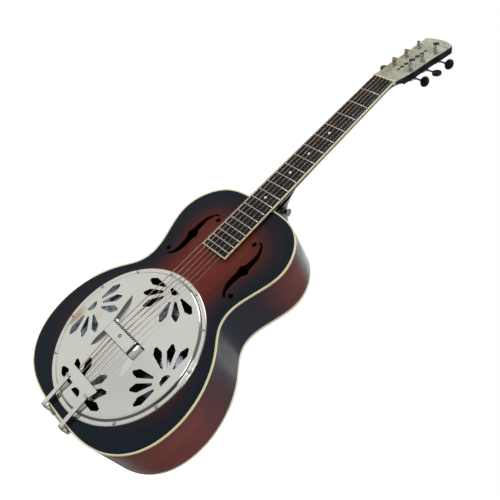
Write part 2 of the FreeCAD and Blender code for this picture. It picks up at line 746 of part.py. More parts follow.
def make_coverplate():
    cover = new_body("coverplate")
    inside = [(r, z - COVER_GAUGE) for r, z in COVER_DOME[::-1]] + STEP_UNDER
    sketch = new_sketch(cover, "cover_profile", "XZ_Plane")
    polygon(sketch, COVER_OUTSIDE + inside)
    revolve(cover, "cover_spin", sketch)
    sketch = new_sketch(cover, "fan_petals")
    for angle in (-79, -52, -25, 25, 52, 79):
        polygon(sketch, petal(angle))
    polygon(sketch, crescent())
    fan = pocket_through(cover, "fan_cut", sketch)
    ring_of(cover, "fan_ring", fan, "sizes.fan_count")
    sketch = new_sketch(cover, "cover_screw_hole")
    circle(
        sketch, "sizes.cover_hole_radius",
        "sizes.cover_screw_circle * cos(sizes.cover_screw_start)",
        "sizes.cover_screw_circle * sin(sizes.cover_screw_start)",
    )
    hole = pocket_through(cover, "cover_screw_cut", sketch)
    ring_of(cover, "cover_screw_ring", hole, "sizes.cover_screw_count")
    sketch = new_sketch(cover, "saddle_window")
    rectangle(
        sketch,
        "-sizes.window_half_long",
        "sizes.saddle_place - sizes.cover_centre - sizes.window_half_wide",
        "sizes.window_half_long",
        "sizes.saddle_place - sizes.cover_centre + sizes.window_half_wide",
    )
    pocket_through(cover, "saddle_window_cut", sketch)
    keep_in_face(cover, "sizes.cover_centre")


def make_coverplate_screws():
    shank, seat = size("cover_screw_radius"), COVER_GAUGE
    profile = [
        (0, -10.0), (shank, -8.5), (shank, seat), (2.9, seat),
        (2.9, seat + 0.5), (2.3, seat + 1.3), (1.2, seat + 1.7), (0, seat + 1.8),
    ]
    cross = block(-2.0, 2.0, -0.3, 0.3, 1.9, 3.2).fuse(block(-0.3, 0.3, -2.0, 2.0, 1.9, 3.2))
    screws = []
    for x, y in COVER_SCREWS:
        recess = cross.copy()
        recess.translate(Vector(x, COVER_Y + y, 0))
        screws.append(turned(profile, Vector(x, COVER_Y + y, 0)).cut(recess))
    feature("coverplate_screws", bundle(screws))


def bends_at(shape, across):
    # edges that run along y at this distance from the centreline
    return [e for e in shape.Edges
            if abs(e.BoundBox.XLength) < 1e-6 and abs(e.BoundBox.ZLength) < 1e-6
            and abs(abs(e.CenterOfMass.x) - across) < 0.05]


def make_hand_rest():
    # a strip bent down onto the plate at both ends
    top = size("rest_height")
    outer_bend, inner_bend = 33.0, 32.2
    outer = [(42.5, 3.0), (40.2, 11.5), (outer_bend, top)]
    inner = [(41.0, 3.0), (38.7, 11.9), (inner_bend, top - size("rest_gauge"))]
    outline = [(-x, z) for x, z in outer] + outer[::-1] + inner + [(-x, z) for x, z in inner[::-1]]
    rest = flat([Vector(x, 0, z) for x, z in outline]).extrude(Vector(0, size("rest_wide"), 0))
    rest.translate(Vector(0, SADDLE_Y - 11.0, 0))
    try:
        rest = rest.makeFillet(4.5, bends_at(rest, outer_bend))
        rest = rest.makeFillet(3.0, bends_at(rest, inner_bend))
    except Exception:
        # a bend whose rounding fails stays sharp
        pass
    under_plate = [(0, -5), (size("cover_radius"), -5)]
    rest = rest.cut(turned(under_plate + COVER_OUTSIDE, Vector(0, COVER_Y, 0)))
    rest = rest.cut(cylinder(2.1, 6, Vector(0, SADDLE_Y + 1.5, top - 4)))
    feature("hand_rest", rest)


make_coverplate()
make_coverplate_screws()
make_hand_rest()


# ---------------------------------------------------------------- neck
def board_half(y):
    part = (NUT_Y - y) / size("board_length")
    nut_width = size("board_nut_width")
    return (nut_width + (size("board_end_width") - nut_width) * part) / 2


def board_prism(shrink, y0, y1, z0, z1):
    # tapered plate with the fingerboard's plan, narrowed by shrink on each side
    low, high = board_half(y0) - shrink, board_half(y1) - shrink
    corners = [(-low, y0), (low, y0), (high, y1), (-high, y1)]
    return flat([Vector(x, y, z0) for x, y in corners]).extrude(Vector(0, 0, z1 - z0))


def half_oval(half, deep, power):
    # (across, depth) points on half of a superellipse
    points = []
    for i in range(33):
        cosine, sine = math.cos(math.pi * i / 32), math.sin(math.pi * i / 32)
        across = half * math.copysign(abs(cosine) ** (2.0 / power), cosine)
        points.append((across, deep * abs(sine) ** (2.0 / power)))
    return points


def closed_arc(points):
    chord = Part.LineSegment(points[-1], points[0])
    return Part.Wire([curve_through(points).toShape(), chord.toShape()])


def section(frame, half, deep, power, top_level):
    return closed_arc([frame.multVec(Vector(x, 0, top_level - depth))
                       for x, depth in half_oval(half, deep, power)])


SHAFT_END = NUT_Y - 14.0
# y, depth, roundness power
SHAFT_STATIONS = [
    (JOINT_Y, size("neck_joint_depth") + LIFT, 2.1),
    (540.0, size("neck_joint_depth") + LIFT - 2.8, 1.9),
    (650.0, size("neck_nut_depth") + LIFT - 1.0, 1.8),
    (SHAFT_END, size("neck_nut_depth") + LIFT - 2.2, 1.75),
]
# z, half width, reach up the neck from the joint
HEEL_STATIONS = [
    (-12.0, 24.3, 78.0), (-18.0, 23.0, 63.0), (-25.0, 21.7, 51.0), (-34.0, 20.0, 41.0),
    (-48.0, 18.0, 33.0), (-65.0, 16.3, 28.0), (-87.3, 14.6, 24.5),
]
# half width, distance from the nut along the headstock
HEAD_SIDE = [
    (22.8, 12.0), (24.0, 20.0), (25.7, 35.0), (26.8, 50.0), (27.0, 70.0),
    (26.9, 90.0), (27.6, 110.0), (28.7, 130.0), (29.3, 148.0), (29.4, 158.0),
]
HEAD_CURVES = [
    spline(HEAD_SIDE, closed=False),
    Part.Arc(Vector(29.4, 158.0, 0), Vector(0, 166.0, 0), Vector(-29.4, 158.0, 0)),
    spline([(-x, y) for x, y in HEAD_SIDE[::-1]], closed=False),
    Part.LineSegment(Vector(-22.8, 12.0, 0), Vector(22.8, 12.0, 0)),
]
ROD_START = JOINT_Y + 5
ROD_CHANNEL_END = NUT_Y - 6.0
# across and along the headstock from the post, towards the button when positive across
TUNER_SCREWS = ((-5.6, -6.9), (5.0, -7.2))
TUNER_SCREW_RADIUS = 1.0
HEEL_DIR = Vector(math.cos(math.radians(10)), math.sin(math.radians(10)), 0)
HEEL_SEAT = Vector(19.4, 484.0, -27.0)


def shaft_section(station):
    y, deep, power = station
    return section(up_neck(y), board_half(y), deep, power, LIFT)


def head_slab(z0, z1):
    return slab(HEAD_CURVES, z0, z1)


def heel_solid():
    wires = []
    for z, half, reach in HEEL_STATIONS:
        oval = half_oval(half, reach, 2.2)
        wires.append(closed_arc([Vector(x, JOINT_Y + out, z) for x, out in oval]))
    return Part.makeLoft(wires, True, False)


def cut_bushing_bores(shape):
    for side in (1, -1):
        for up in POST_UP:
            base = Vector(side * size("post_spread"), up, -30)
            shape = shape.cut(moved(cylinder(size("bushing_radius"), 40, base), HEAD_IN_FACE))
    return shape


def make_neck():
    shaft = Part.makeLoft([shaft_section(station) for station in SHAFT_STATIONS], True, False)
    head_mid = HEAD_IN_FACE.multiply(up_neck(12.0))
    head_low = HEAD_IN_FACE.multiply(up_neck(26.0))
    blend = Part.makeLoft([
        shaft_section(SHAFT_STATIONS[-1]),
        section(head_mid, 23.3, 14.6, 2.8, -VENEER),
        section(head_low, 24.55, HEAD_THICK - VENEER - 0.2, 9.0, -VENEER),
    ], True, False)
    head_core = head_slab(-HEAD_THICK, -VENEER).cut(block(-40, 40, 0, 26, -20, 0))
    neck = shaft.fuse(heel_solid()).fuse(blend).fuse(moved(head_core, HEAD_IN_FACE))
    neck = neck.fuse(tenon_block(size("tenon_start") + 1, JOINT_Y + 3,
                                 side_gap=0.1, floor_gap=0.5, top_gap=0.2))
    # clears the fingerboard, the nut and the veneer
    neck = neck.cut(block(-45, 45, 300, NUT_FAR_Y, LIFT, 40))
    neck = neck.cut(block(-45, 45, NUT_Y, NUT_FAR_Y, 0, 40))
    neck = neck.cut(moved(block(-40, 40, -40, 200, -VENEER, 30), HEAD_IN_FACE))
    # riser that carries the fingerboard over the soundboard
    neck = neck.fuse(board_prism(2.6, BOARD_END_Y + 3.0, JOINT_Y + 1.0, 0, LIFT))
    # channel for the truss rod
    neck = neck.cut(block(-3.1, 3.1, JOINT_Y + 4.0, ROD_CHANNEL_END, -9.0, LIFT + 1.0))
    neck = cut_bushing_bores(neck)
    for side in (1, -1):
        for up in POST_UP:
            for out, along in TUNER_SCREWS:
                base = Vector(side * (size("post_spread") + out), up + along, -HEAD_THICK)
                neck = neck.cut(moved(cylinder(TUNER_SCREW_RADIUS, 9.0, base), HEAD_IN_FACE))
    # seat and pilot for the heel strap button
    neck = neck.cut(cylinder(7.6, 20, HEEL_SEAT, HEEL_DIR))
    neck = neck.cut(cylinder(WOOD_SCREW, 12.0, HEEL_SEAT - HEEL_DIR * 12.0, HEEL_DIR))
    feature("neck", largest(neck))


def make_truss_rod():
    length = ROD_CHANNEL_END - 2 - ROD_START
    rod = cylinder(2.6, length, Vector(0, ROD_START, -5.5), Y_DIR)
    feature("truss_rod", rod.fuse(block(-2.6, 2.6, ROD_START, ROD_START + 8, -8.1, -2.9)))


def make_veneer():
    lead = block(-45, 45, NUT_Y - 60, NUT_FAR_Y, -40, 60)
    strip = block(-22.6, 22.6, 0, 12.0, -VENEER, 0.0)
    veneer = moved(head_slab(-VENEER, 0.0).fuse(strip), HEAD_IN_FACE).cut(lead)
    feature("headstock_veneer", largest(cut_bushing_bores(veneer)))


make_neck()
make_truss_rod()
make_veneer()


# ---------------------------------------------------------------- fingerboard, frets and nut
CROWN_Z = size("board_thick") - size("board_round")  # axis of the fingerboard's round
CROWN_TOOL = cylinder(size("board_round"), 900, Vector(0, 100, CROWN_Z), Y_DIR)


def fret_place(number):
    return NUT_Y - size("scale_length") * (1 - 2 ** (-number / 12.0))


def fret_and_tang(number):
    y = fret_place(number)
    half = board_half(y) - 0.35
    radius = size("board_round")
    half_wide, tall = size("fret_wide") / 2, size("fret_tall")
    profile = []
    for j in range(11):
        angle = math.pi * j / 10
        profile.append(Vector(0, y + half_wide * math.cos(angle), radius + tall * math.sin(angle)))
    swing = math.degrees(math.asin(half / radius))
    crown = flat(profile).revolve(ORIGIN, Y_DIR, 2 * swing)
    crown.rotate(ORIGIN, Y_DIR, -swing)
    crown.translate(Vector(0, 0, CROWN_Z))
    tang_half = half - size("board_binding")
    tang = block(-tang_half, tang_half, y - 0.28, y + 0.28, 5.2, 9.0).common(CROWN_TOOL)
    return crown.fuse(tang).Solids[0], tang


def make_fingerboard():
    binding = size("board_binding")
    whole = board_prism(0, BOARD_END_Y, NUT_Y, LIFT, 12).common(CROWN_TOOL)
    inner = board_prism(binding, BOARD_END_Y + binding, NUT_Y, -1, 14)
    board = whole.common(inner)
    edge = whole.cut(inner)
    frets, tangs = [], []
    for number in range(1, int(size("fret_count")) + 1):
        fret, tang = fret_and_tang(number)
        frets.append(fret)
        tangs.append(tang)
    dots = []
    for number in (5, 7, 9, 12):
        middle = (fret_place(number - 1) + fret_place(number)) / 2
        base = Vector(0, middle, size("board_thick") - 1.6)
        dots.append(cylinder(2.6, 6.0, base).common(CROWN_TOOL))
    for tool in tangs + dots:
        board = board.cut(tool)
    feature("fingerboard", largest(board))
    feature("fingerboard_binding", largest(edge))
    feature("frets", Part.makeCompound(frets))
    feature("fret_dots", bundle(dots))


def make_nut():
    blank = new_body("nut_blank")
    sketch = new_sketch(blank, "nut_plan")
    rectangle(
        sketch,
        "-sizes.board_nut_width / 2",
        "sizes.saddle_place + sizes.scale_length",
        "sizes.board_nut_width / 2",
        "sizes.saddle_place + sizes.scale_length + sizes.nut_thick",
    )
    pad(blank, "nut_pad", sketch, "sizes.fret_plane + 1")
    # bevel falling towards the headstock
    plane = size("fret_plane")
    sketch = new_sketch(blank, "nut_bevel", "YZ_Plane")
    polygon(sketch, [
        (NUT_Y + 1.6, plane + 1.0), (NUT_FAR_Y + 1, plane + 1.0),
        (NUT_FAR_Y + 1, plane - 1.9), (NUT_FAR_Y, plane - 1.4),
    ])
    pocket_through(blank, "nut_bevel_cut", sketch)
    doc.recompute()
    nut = blank.Shape.copy()
    for number in STRING_NUMBERS:
        nut = nut.cut(string_solid(number, 0.02, 1, 3))
        point = string_points(number)[2]
        half = STRING_RADIUS[number] + 0.02
        nut = nut.cut(block(point.x - half, point.x + half,
                            NUT_Y - 1, NUT_Y + 6, point.z, point.z + 4))
    feature("nut", largest(nut))


make_fingerboard()
make_nut()

# ---------------------------------------------------------------- strap buttons, wood screws
STRAP_TALL = size("strap_button_tall")
BRACKET_GAUGE = 1.5
BRACKET_OUT = TAIL_SEAT - BRACKET_GAUGE  # y of the bracket's outer surface


def make_strap_buttons():
    head, waist, tall = size("button_head_radius"), size("button_waist_radius"), STRAP_TALL
    profile = [
        (WOOD_SCREW, 0.0), (5.6, 0.0), (5.6, 0.8), (waist, 3.0), (waist, tall - 5.0),
        (head - 0.6, tall - 2.2), (head, tall - 1.2), (head - 0.4, tall - 0.2),
        (head - 1.2, tall), (WOOD_HEAD, tall), (WOOD_SCREW, tall - 1.7),
    ]
    at_tail = turned(profile, Vector(0, TAIL_SEAT, -HALF_DEPTH), -Y_DIR)
    at_heel = turned(profile, HEEL_SEAT, HEEL_DIR)
    feature("strap_buttons", bundle([at_tail, at_heel]))


def wood_screw(base, direction, reach):
    # head seats at base, shank runs against direction
    profile = [
        (0, -reach), (WOOD_SCREW, -reach + 2.0), (WOOD_SCREW, -1.7),
        (WOOD_HEAD, 0.0), (WOOD_HEAD - 0.2, 0.35), (0, 0.7),
    ]
    slot = block(-4, 4, -0.4, 0.4, 0.0, 2.0)
    slot.Placement = Placement(base, Rotation(Z_DIR, direction))
    return turned(profile, base, direction).cut(slot)


def make_wood_screws():
    reach = STRAP_TALL + 9.0
    screws = [
        wood_screw(Vector(0, TAIL_SEAT - STRAP_TALL, -HALF_DEPTH), -Y_DIR, reach),
        wood_screw(HEEL_SEAT + HEEL_DIR * STRAP_TALL, HEEL_DIR, reach),
    ]
    for x, z in BRACKET_SCREWS:
        screws.append(wood_screw(Vector(x, BRACKET_OUT, z), -Y_DIR, 11.5))
    feature("body_wood_screws", bundle(screws))


make_strap_buttons()
make_wood_screws()

# ---------------------------------------------------------------- tailpiece
PIN_RADIUS = size("pin_radius")
PIN_Y, PIN_Z = -size("pin_out"), -size("pin_drop")
KNUCKLE = 3.2       # outer radius of the hinge knuckles
PLATE_Z = 10.1      # underside of the string plate
PLATE_GAUGE = 1.5


def along_pin(radius, length, x):
    return cylinder(radius, length, Vector(x, PIN_Y, PIN_Z), X_DIR)


def make_hinge_pin():
    pin = along_pin(PIN_RADIUS, 67.0, -33.5)
    pin = pin.fuse(along_pin(2.4, 1.0, -34.5)).fuse(along_pin(2.4, 1.0, 33.5))
    feature("tailpiece_hinge_pin", pin.removeSplitter())


def make_bracket():
    bracket = block(-22, 22, BRACKET_OUT, TAIL_SEAT, -40, -6)
    low_corners = [e for e in bracket.Edges
                   if abs(e.Length - BRACKET_GAUGE) < 1e-6 and e.CenterOfMass.z < -39]
    bracket = bracket.makeFillet(4.0, low_corners)
    for x in (13.0, -22.0):
        bracket = bracket.fuse(along_pin(KNUCKLE, 9.0, x))
        bracket = bracket.fuse(
            block(x, x + 9.0, PIN_Y, BRACKET_OUT, PIN_Z - KNUCKLE, PIN_Z - 1.7))
    bracket = bracket.cut(along_pin(PIN_RADIUS, 80, -40))
    sink = [(0, -1.7), (WOOD_SCREW, -1.7), (WOOD_HEAD, 0.0), (0, 0.0)]
    for x, z in BRACKET_SCREWS:
        bracket = bracket.cut(cylinder(WOOD_SCREW, 6, Vector(x, -4, z), Y_DIR))
        bracket = bracket.cut(turned(sink, Vector(x, BRACKET_OUT, z), -Y_DIR))
    feature("tailpiece_bracket", largest(bracket.removeSplitter()))


# y, z round the side view of one leg
LEG_SIDE = [
    (PIN_Y - KNUCKLE, PIN_Z), (PIN_Y - KNUCKLE, 2.2), (PIN_Y - 2.9, 4.0), (PIN_Y - 1.9, 5.5),
    (PIN_Y - 0.3, 6.4), (PIN_Y + 1.6, 6.8), (50.0, PLATE_Z + PLATE_GAUGE),
    (62.0, PLATE_Z + PLATE_GAUGE), (62.0, PLATE_Z), (50.0, PLATE_Z - 0.5),
    (PIN_Y + 1.8, 4.8), (PIN_Y + 0.4, 4.4), (PIN_Y - 0.7, 3.4), (PIN_Y - 1.1, 2.0),
    (PIN_Y - 1.2, PIN_Z),
]
# x, y round the string plate
PLATE_PLAN = [
    (-32.0, 49.5), (32.0, 49.5), (36.5, 66.5), (36.0, 68.5), (-36.0, 68.5), (-36.5, 66.5),
]


def leg(x):
    side_view = flat([Vector(x, y, z) for y, z in LEG_SIDE])
    return side_view.extrude(Vector(8.0, 0, 0)).fuse(along_pin(KNUCKLE, 8.0, x))


def make_tailpiece_frame():
    frame = leg(24.0).fuse(leg(-32.0))
    plate = flat([Vector(x, y, PLATE_Z) for x, y in PLATE_PLAN])
    lip = block(-36.0, 36.0, 67.1, 68.5, 6.4, PLATE_Z)
    frame = frame.fuse(plate.extrude(Vector(0, 0, PLATE_GAUGE))).fuse(lip)
    # short bars across the legs at the plate's tail edge
    for side in (1, -1):
        base = Vector(side * 28.0 - 4.5, 51.5, PLATE_Z + 1.3)
        frame = frame.fuse(cylinder(1.9, 9.0, base, X_DIR))
    frame = frame.cut(along_pin(PIN_RADIUS + size("run_gap"), 80, -40))
    for number in STRING_NUMBERS:
        anchor, at_saddle = string_points(number)[:2]
        radius = max(STRING_RADIUS[number] + 0.35, 0.7)
        frame = frame.cut(cylinder(radius, 12, anchor, at_saddle - anchor))
    feature("tailpiece_frame", largest(frame.removeSplitter()))


make_hinge_pin()
make_bracket()
make_tailpiece_frame()

# ---------------------------------------------------------------- tuners
# Tuner frame: origin on the headstock face at the post, x outwards to the button,
# y up the headstock, z out of the face.
MODULE = size("gear_module")
TEETH = int(size("gear_teeth"))
PITCH = math.pi * MODULE
WORM_Y, WORM_Z = size("worm_offset"), -size("worm_level")
WORM_PITCH_RADIUS = WORM_Y - MODULE * TEETH / 2.0
LEAD_ANGLE = math.degrees(math.atan(PITCH / (2 * math.pi * WORM_PITCH_RADIUS)))
POST_RADIUS = size("post_radius")
SHAFT_RADIUS = size("shaft_radius")
BUSHING_RADIUS = size("bushing_radius")
RUN_GAP = size("run_gap")
BASE_GAUGE = 1.2
BASE_BACK = -HEAD_THICK - BASE_GAUGE   # z of the baseplate's outer surface
WHEEL_HALF = 1.6                       # half of the wheel's thickness
WHEEL_BORE = POST_RADIUS - 0.7
BUTTON_START = size("button_reach") - size("button_long") / 2
STUB_RADIUS = 1.3                      # end of the shaft inside the button
BUTTON_TURN = {1: 66, 2: -10, 3: 58, 4: -24, 5: -30, 6: -16}  # degrees about the shaft


def string_post():
    low, high, tall = WORM_Z - WHEEL_HALF, WORM_Z + WHEEL_HALF, size("post_tall")
    post = turned([
        (0, low - 0.9), (WHEEL_BORE + 0.8, low - 0.5), (WHEEL_BORE + 0.8, low),
        (WHEEL_BORE, low), (WHEEL_BORE, high), (POST_RADIUS, high), (POST_RADIUS, 3.6),
        (POST_WAIST, 5.2), (POST_WAIST, 8.6), (POST_RADIUS, 10.4),
        (POST_RADIUS, tall - 0.6), (POST_RADIUS - 0.6, tall), (0, tall),
    ])
    return post.cut(cylinder(0.85, 10, Vector(0, -5, 9.2), Y_DIR))


def worm_wheel():
    tooth_plan = [(4.2, -0.66), (5.72, -0.30), (5.72, 0.30), (4.2, 0.66)]
    tooth_face = flat([Vector(x, y, 0) for x, y in tooth_plan])
    tooth_face.translate(Vector(0, 0, -WHEEL_HALF))
    wheel = cylinder(4.45, 2 * WHEEL_HALF, Vector(0, 0, WORM_Z - WHEEL_HALF))
    for i in range(TEETH):
        tooth = tooth_face.extrude(Vector(0, 0, 2 * WHEEL_HALF))
        # each tooth leans with the worm's thread
        tooth.rotate(ORIGIN, X_DIR, -LEAD_ANGLE)
        tooth.translate(Vector(0, 0, WORM_Z))
        tooth.rotate(ORIGIN, Z_DIR, 90.0 + 360.0 / TEETH * i)
        wheel = wheel.fuse(tooth)
    wheel = wheel.common(block(-9, 9, -9, 9, WORM_Z - WHEEL_HALF, WORM_Z + WHEEL_HALF))
    return wheel.cut(cylinder(WHEEL_BORE, 20, Vector(0, 0, WORM_Z - 10))).removeSplitter()


def worm_shaft():
    spindle = turned([
        (0, -8.1), (1.9, -8.1), (1.9, -7.05), (SHAFT_RADIUS, -7.05), (SHAFT_RADIUS, -5.0),
        (1.25, -5.0), (1.25, 5.0), (SHAFT_RADIUS, 5.0), (SHAFT_RADIUS, 7.05), (2.2, 7.05),
        (2.2, 8.2), (1.6, 8.6), (1.6, BUTTON_START - 1.2), (STUB_RADIUS, BUTTON_START - 1.2),
        (STUB_RADIUS, BUTTON_START + 6.0), (0, BUTTON_START + 6.0),
    ])
    thread_long = PITCH * 3.5
    helix = Part.makeHelix(PITCH, thread_long, WORM_PITCH_RADIUS)
    thread_section = [(1.1, -0.62), (2.6, -0.30), (2.6, 0.30), (1.1, 0.62)]
    points = [Vector(x, 0, z) for x, z in thread_section]
    wire = Part.makePolygon(points + [points[0]])
    thread = Part.Wire(helix).makePipeShell([wire], True, True)
    thread.rotate(ORIGIN, Z_DIR, 90)
    thread.translate(Vector(0, 0, -thread_long / 2))
    # stands the worm along x, on its axis beside the wheel
    to_x = FreeCAD.Matrix(0, 0, 1, 0, 1, 0, 0, WORM_Y, 0, 1, 0, WORM_Z, 0, 0, 0, 1)
    return moved(largest(spindle.fuse(thread)), Placement(to_x))


def tuner_button():
    # drawn with its shaft along x through the origin
    thick, neck_start = size("button_thick"), Vector(BUTTON_START - 1.2, 0, 0)
    oval = Part.Ellipse(ORIGIN, size("button_wide") / 2, size("button_long") / 2)
    button = Part.Face(Part.Wire(oval.toShape())).extrude(Vector(0, 0, thick))
    rims = [e for e in button.Edges if abs(e.BoundBox.ZLength) < 1e-6]
    button = button.makeFillet(2.7, rims)
    button.translate(Vector(0, 0, -thick / 2))
    button.rotate(ORIGIN, Z_DIR, 90)
    button.translate(Vector(size("button_reach"), 0, 0))
    button = button.fuse(Part.makeCone(2.4, 3.3, 4.0, neck_start, X_DIR))
    return largest(button.cut(cylinder(STUB_RADIUS, 7.2, neck_start, X_DIR)))


def tuner_base():
    base = block(-8.4, 8.0, -9.8, 10.6, BASE_BACK, -HEAD_THICK)
    corners = [e for e in base.Edges if abs(e.Length - BASE_GAUGE) < 1e-6]
    base = base.makeFillet(2.0, corners)
    # two ears that carry the worm shaft
    ear_gauge = 1.8
    for x in (-7.0, 5.2):
        ear = block(x, x + ear_gauge, WORM_Y - 2.5, WORM_Y + 2.5, WORM_Z - 2.6, BASE_BACK)
        corners = [e for e in ear.Edges
                   if abs(e.Length - ear_gauge) < 1e-6 and e.CenterOfMass.z < WORM_Z - 2]
        base = base.fuse(ear.makeFillet(1.6, corners))
    base = base.cut(cylinder(SHAFT_RADIUS + RUN_GAP, 30, Vector(-15, WORM_Y, WORM_Z), X_DIR))
    base = base.cut(cylinder(BUSHING_RADIUS, 10, Vector(0, 0, -HEAD_THICK - 5)))
    for x, y in TUNER_SCREWS:
        base = base.cut(cylinder(TUNER_SCREW_RADIUS, 10, Vector(x, y, -HEAD_THICK - 5)))
    return base.removeSplitter()


def tuner_bushing():
    bore = POST_RADIUS + RUN_GAP
    return turned([
        (bore, -9.0), (BUSHING_RADIUS, -9.0), (BUSHING_RADIUS, 0),
        (5.6, 0), (5.6, 0.9), (4.8, 1.7), (bore, 1.7),
    ])


def tuner_screw(x, y):
    shank, seat = TUNER_SCREW_RADIUS, -BASE_GAUGE
    screw = turned([
        (0, 8.0), (shank, 7.0), (shank, seat), (1.9, seat),
        (1.7, seat - 0.8), (0.8, seat - 1.1), (0, seat - 1.1),
    ], Vector(x, y, -HEAD_THICK))
    return screw.cut(block(x - 2.2, x + 2.2, y - 0.22, y + 0.22,
                           BASE_BACK - 1.3, BASE_BACK + 0.6 - BASE_GAUGE))


def on_side(shape, side):
    return shape if side > 0 else shape.mirror(ORIGIN, X_DIR)


def make_tuners():
    post, wheel, worm, button = string_post(), worm_wheel(), worm_shaft(), tuner_button()
    base, bushing = tuner_base(), tuner_bushing()
    small_screws = [tuner_screw(x, y) for x, y in TUNER_SCREWS]
    bases, bushings, screws = [], [], []
    for number in STRING_NUMBERS:
        side, up = post_of(number)
        post_place = Placement(Vector(side * size("post_spread"), up, 0), Rotation())
        spot = HEAD_IN_FACE.multiply(post_place)
        own_button = button.copy()
        own_button.rotate(ORIGIN, X_DIR, BUTTON_TURN[number])
        own_button.translate(Vector(0, WORM_Y, WORM_Z))
        world = FACE.multiply(spot)
        for name, shape in (("string_post", post), ("worm_wheel", wheel),
                            ("worm_shaft", worm), ("tuner_button", own_button)):
            solid = on_side(shape, side).Solids[0]
            feature("%s_%d" % (name, number), solid, world.multiply(solid.Placement))
        bases.append(moved(on_side(base, side), spot))
        bushings.append(moved(on_side(bushing, side), spot))
        screws += [moved(on_side(screw, side), spot) for screw in small_screws]
    feature("tuner_baseplates", bundle(bases))
    feature("tuner_bushings", bundle(bushings))
    feature("tuner_screws", bundle(screws))


make_tuners()

# ---------------------------------------------------------------- checks and files
doc.recompute()
for obj in doc.Objects:
    if any(word in obj.State for word in ("Invalid", "Error")):
        raise RuntimeError("%s did not build: %s" % (obj.Label, obj.State))
labels = [piece.Label for piece in PIECES]
if len(set(labels)) != len(labels):
    raise RuntimeError("two pieces share a label")
os.makedirs("parts", exist_ok=True)
for piece in PIECES:
    shape = piece.Shape
    if shape.isNull() or not shape.isValid() or not shape.Solids:
        raise RuntimeError("%s has no valid shape" % piece.Label)
    shape.exportStep("parts/%s.step" % piece.Label)
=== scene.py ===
"""Looks for a resonator guitar: strings, pressed coverplate, hand rest, spun cone and inlays.

World frame in metres: +Z runs up the neck from the tail, +X is the treble side and -Y faces
out of the soundboard. Shapes are drawn in millimetres, either in face coordinates (x across,
y up the neck, z out of the soundboard) or in headstock coordinates (see head()).
"""
import math

import bpy
import numpy as np
from mathutils import Matrix, Vector, geometry


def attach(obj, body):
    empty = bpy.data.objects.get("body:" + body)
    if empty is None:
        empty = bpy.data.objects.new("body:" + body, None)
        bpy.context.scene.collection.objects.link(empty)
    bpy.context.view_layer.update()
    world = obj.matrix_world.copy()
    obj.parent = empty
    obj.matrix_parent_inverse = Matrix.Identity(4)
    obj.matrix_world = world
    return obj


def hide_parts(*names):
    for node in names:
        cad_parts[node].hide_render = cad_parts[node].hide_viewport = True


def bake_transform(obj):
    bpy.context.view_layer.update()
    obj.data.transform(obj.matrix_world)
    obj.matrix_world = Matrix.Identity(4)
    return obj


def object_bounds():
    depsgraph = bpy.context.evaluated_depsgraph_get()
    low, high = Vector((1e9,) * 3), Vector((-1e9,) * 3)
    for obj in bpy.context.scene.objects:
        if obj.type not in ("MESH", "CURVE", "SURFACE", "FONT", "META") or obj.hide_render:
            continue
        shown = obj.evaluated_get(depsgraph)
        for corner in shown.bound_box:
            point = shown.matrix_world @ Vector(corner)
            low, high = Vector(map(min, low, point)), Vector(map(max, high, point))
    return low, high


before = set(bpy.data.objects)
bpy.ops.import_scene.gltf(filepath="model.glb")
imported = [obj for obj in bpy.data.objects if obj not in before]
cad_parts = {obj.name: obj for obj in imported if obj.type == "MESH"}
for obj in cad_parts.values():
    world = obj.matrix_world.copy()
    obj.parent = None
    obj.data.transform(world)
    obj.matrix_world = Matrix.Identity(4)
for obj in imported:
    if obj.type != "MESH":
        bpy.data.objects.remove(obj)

SCENE = bpy.context.scene
bounds_loaded = [[float(v) for v in corner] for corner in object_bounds()]

# ------------------------------------------------------------------ driving sizes, mm
FACE_OUT = 49.25            # soundboard plane, measured out from the world origin
HEAD_START, HEAD_OUT = 782.5, 6.2   # face y and z where the headstock begins
HEAD_TILT = math.radians(13.6)      # the headstock leans back by this much
COVER_Y = 149.7             # centre of the coverplate and the cone
SADDLE_Y = 147.5
SADDLE_UP = SADDLE_Y - COVER_Y
COVER_Z = COVER_Y / 1000.0  # the same centre in world metres

# Body outline from the neck end to the tail: (half width, y)
OUTLINE = [
    (0.0, 465.1), (17.5, 465.1), (35.0, 465.0), (52.4, 463.7), (69.5, 460.2), (85.6, 453.5),
    (99.6, 443.1), (111.1, 429.9), (119.7, 414.7), (125.1, 398.1), (126.7, 380.7),
    (124.3, 363.4), (119.5, 346.6), (113.7, 330.1), (108.2, 313.5), (104.6, 296.4),
    (104.7, 279.0), (110.1, 262.4), (120.0, 248.1), (131.6, 235.0), (142.6, 221.5),
    (152.2, 206.8), (160.2, 191.3), (166.6, 175.0), (171.2, 158.1), (173.9, 140.9),
    (174.7, 123.4), (173.4, 106.0), (170.1, 88.8), (164.5, 72.3), (156.5, 56.7),
    (146.1, 42.7), (133.5, 30.6), (119.2, 20.6), (103.5, 13.0), (86.9, 7.5), (69.8, 3.9),
    (52.4, 1.7), (35.0, 0.6), (17.5, 0.2), (0.0, 0.2),
]


def face(x, y, z=0.0):
    return (x / 1000.0, -(FACE_OUT + z) / 1000.0, y / 1000.0)


def head(x, along, out):
    """Headstock coordinates: x across, then along the head, then out of its face."""
    cos_tilt, sin_tilt = math.cos(HEAD_TILT), math.sin(HEAD_TILT)
    return face(x, HEAD_START + along * cos_tilt + out * sin_tilt,
                HEAD_OUT - along * sin_tilt + out * cos_tilt)


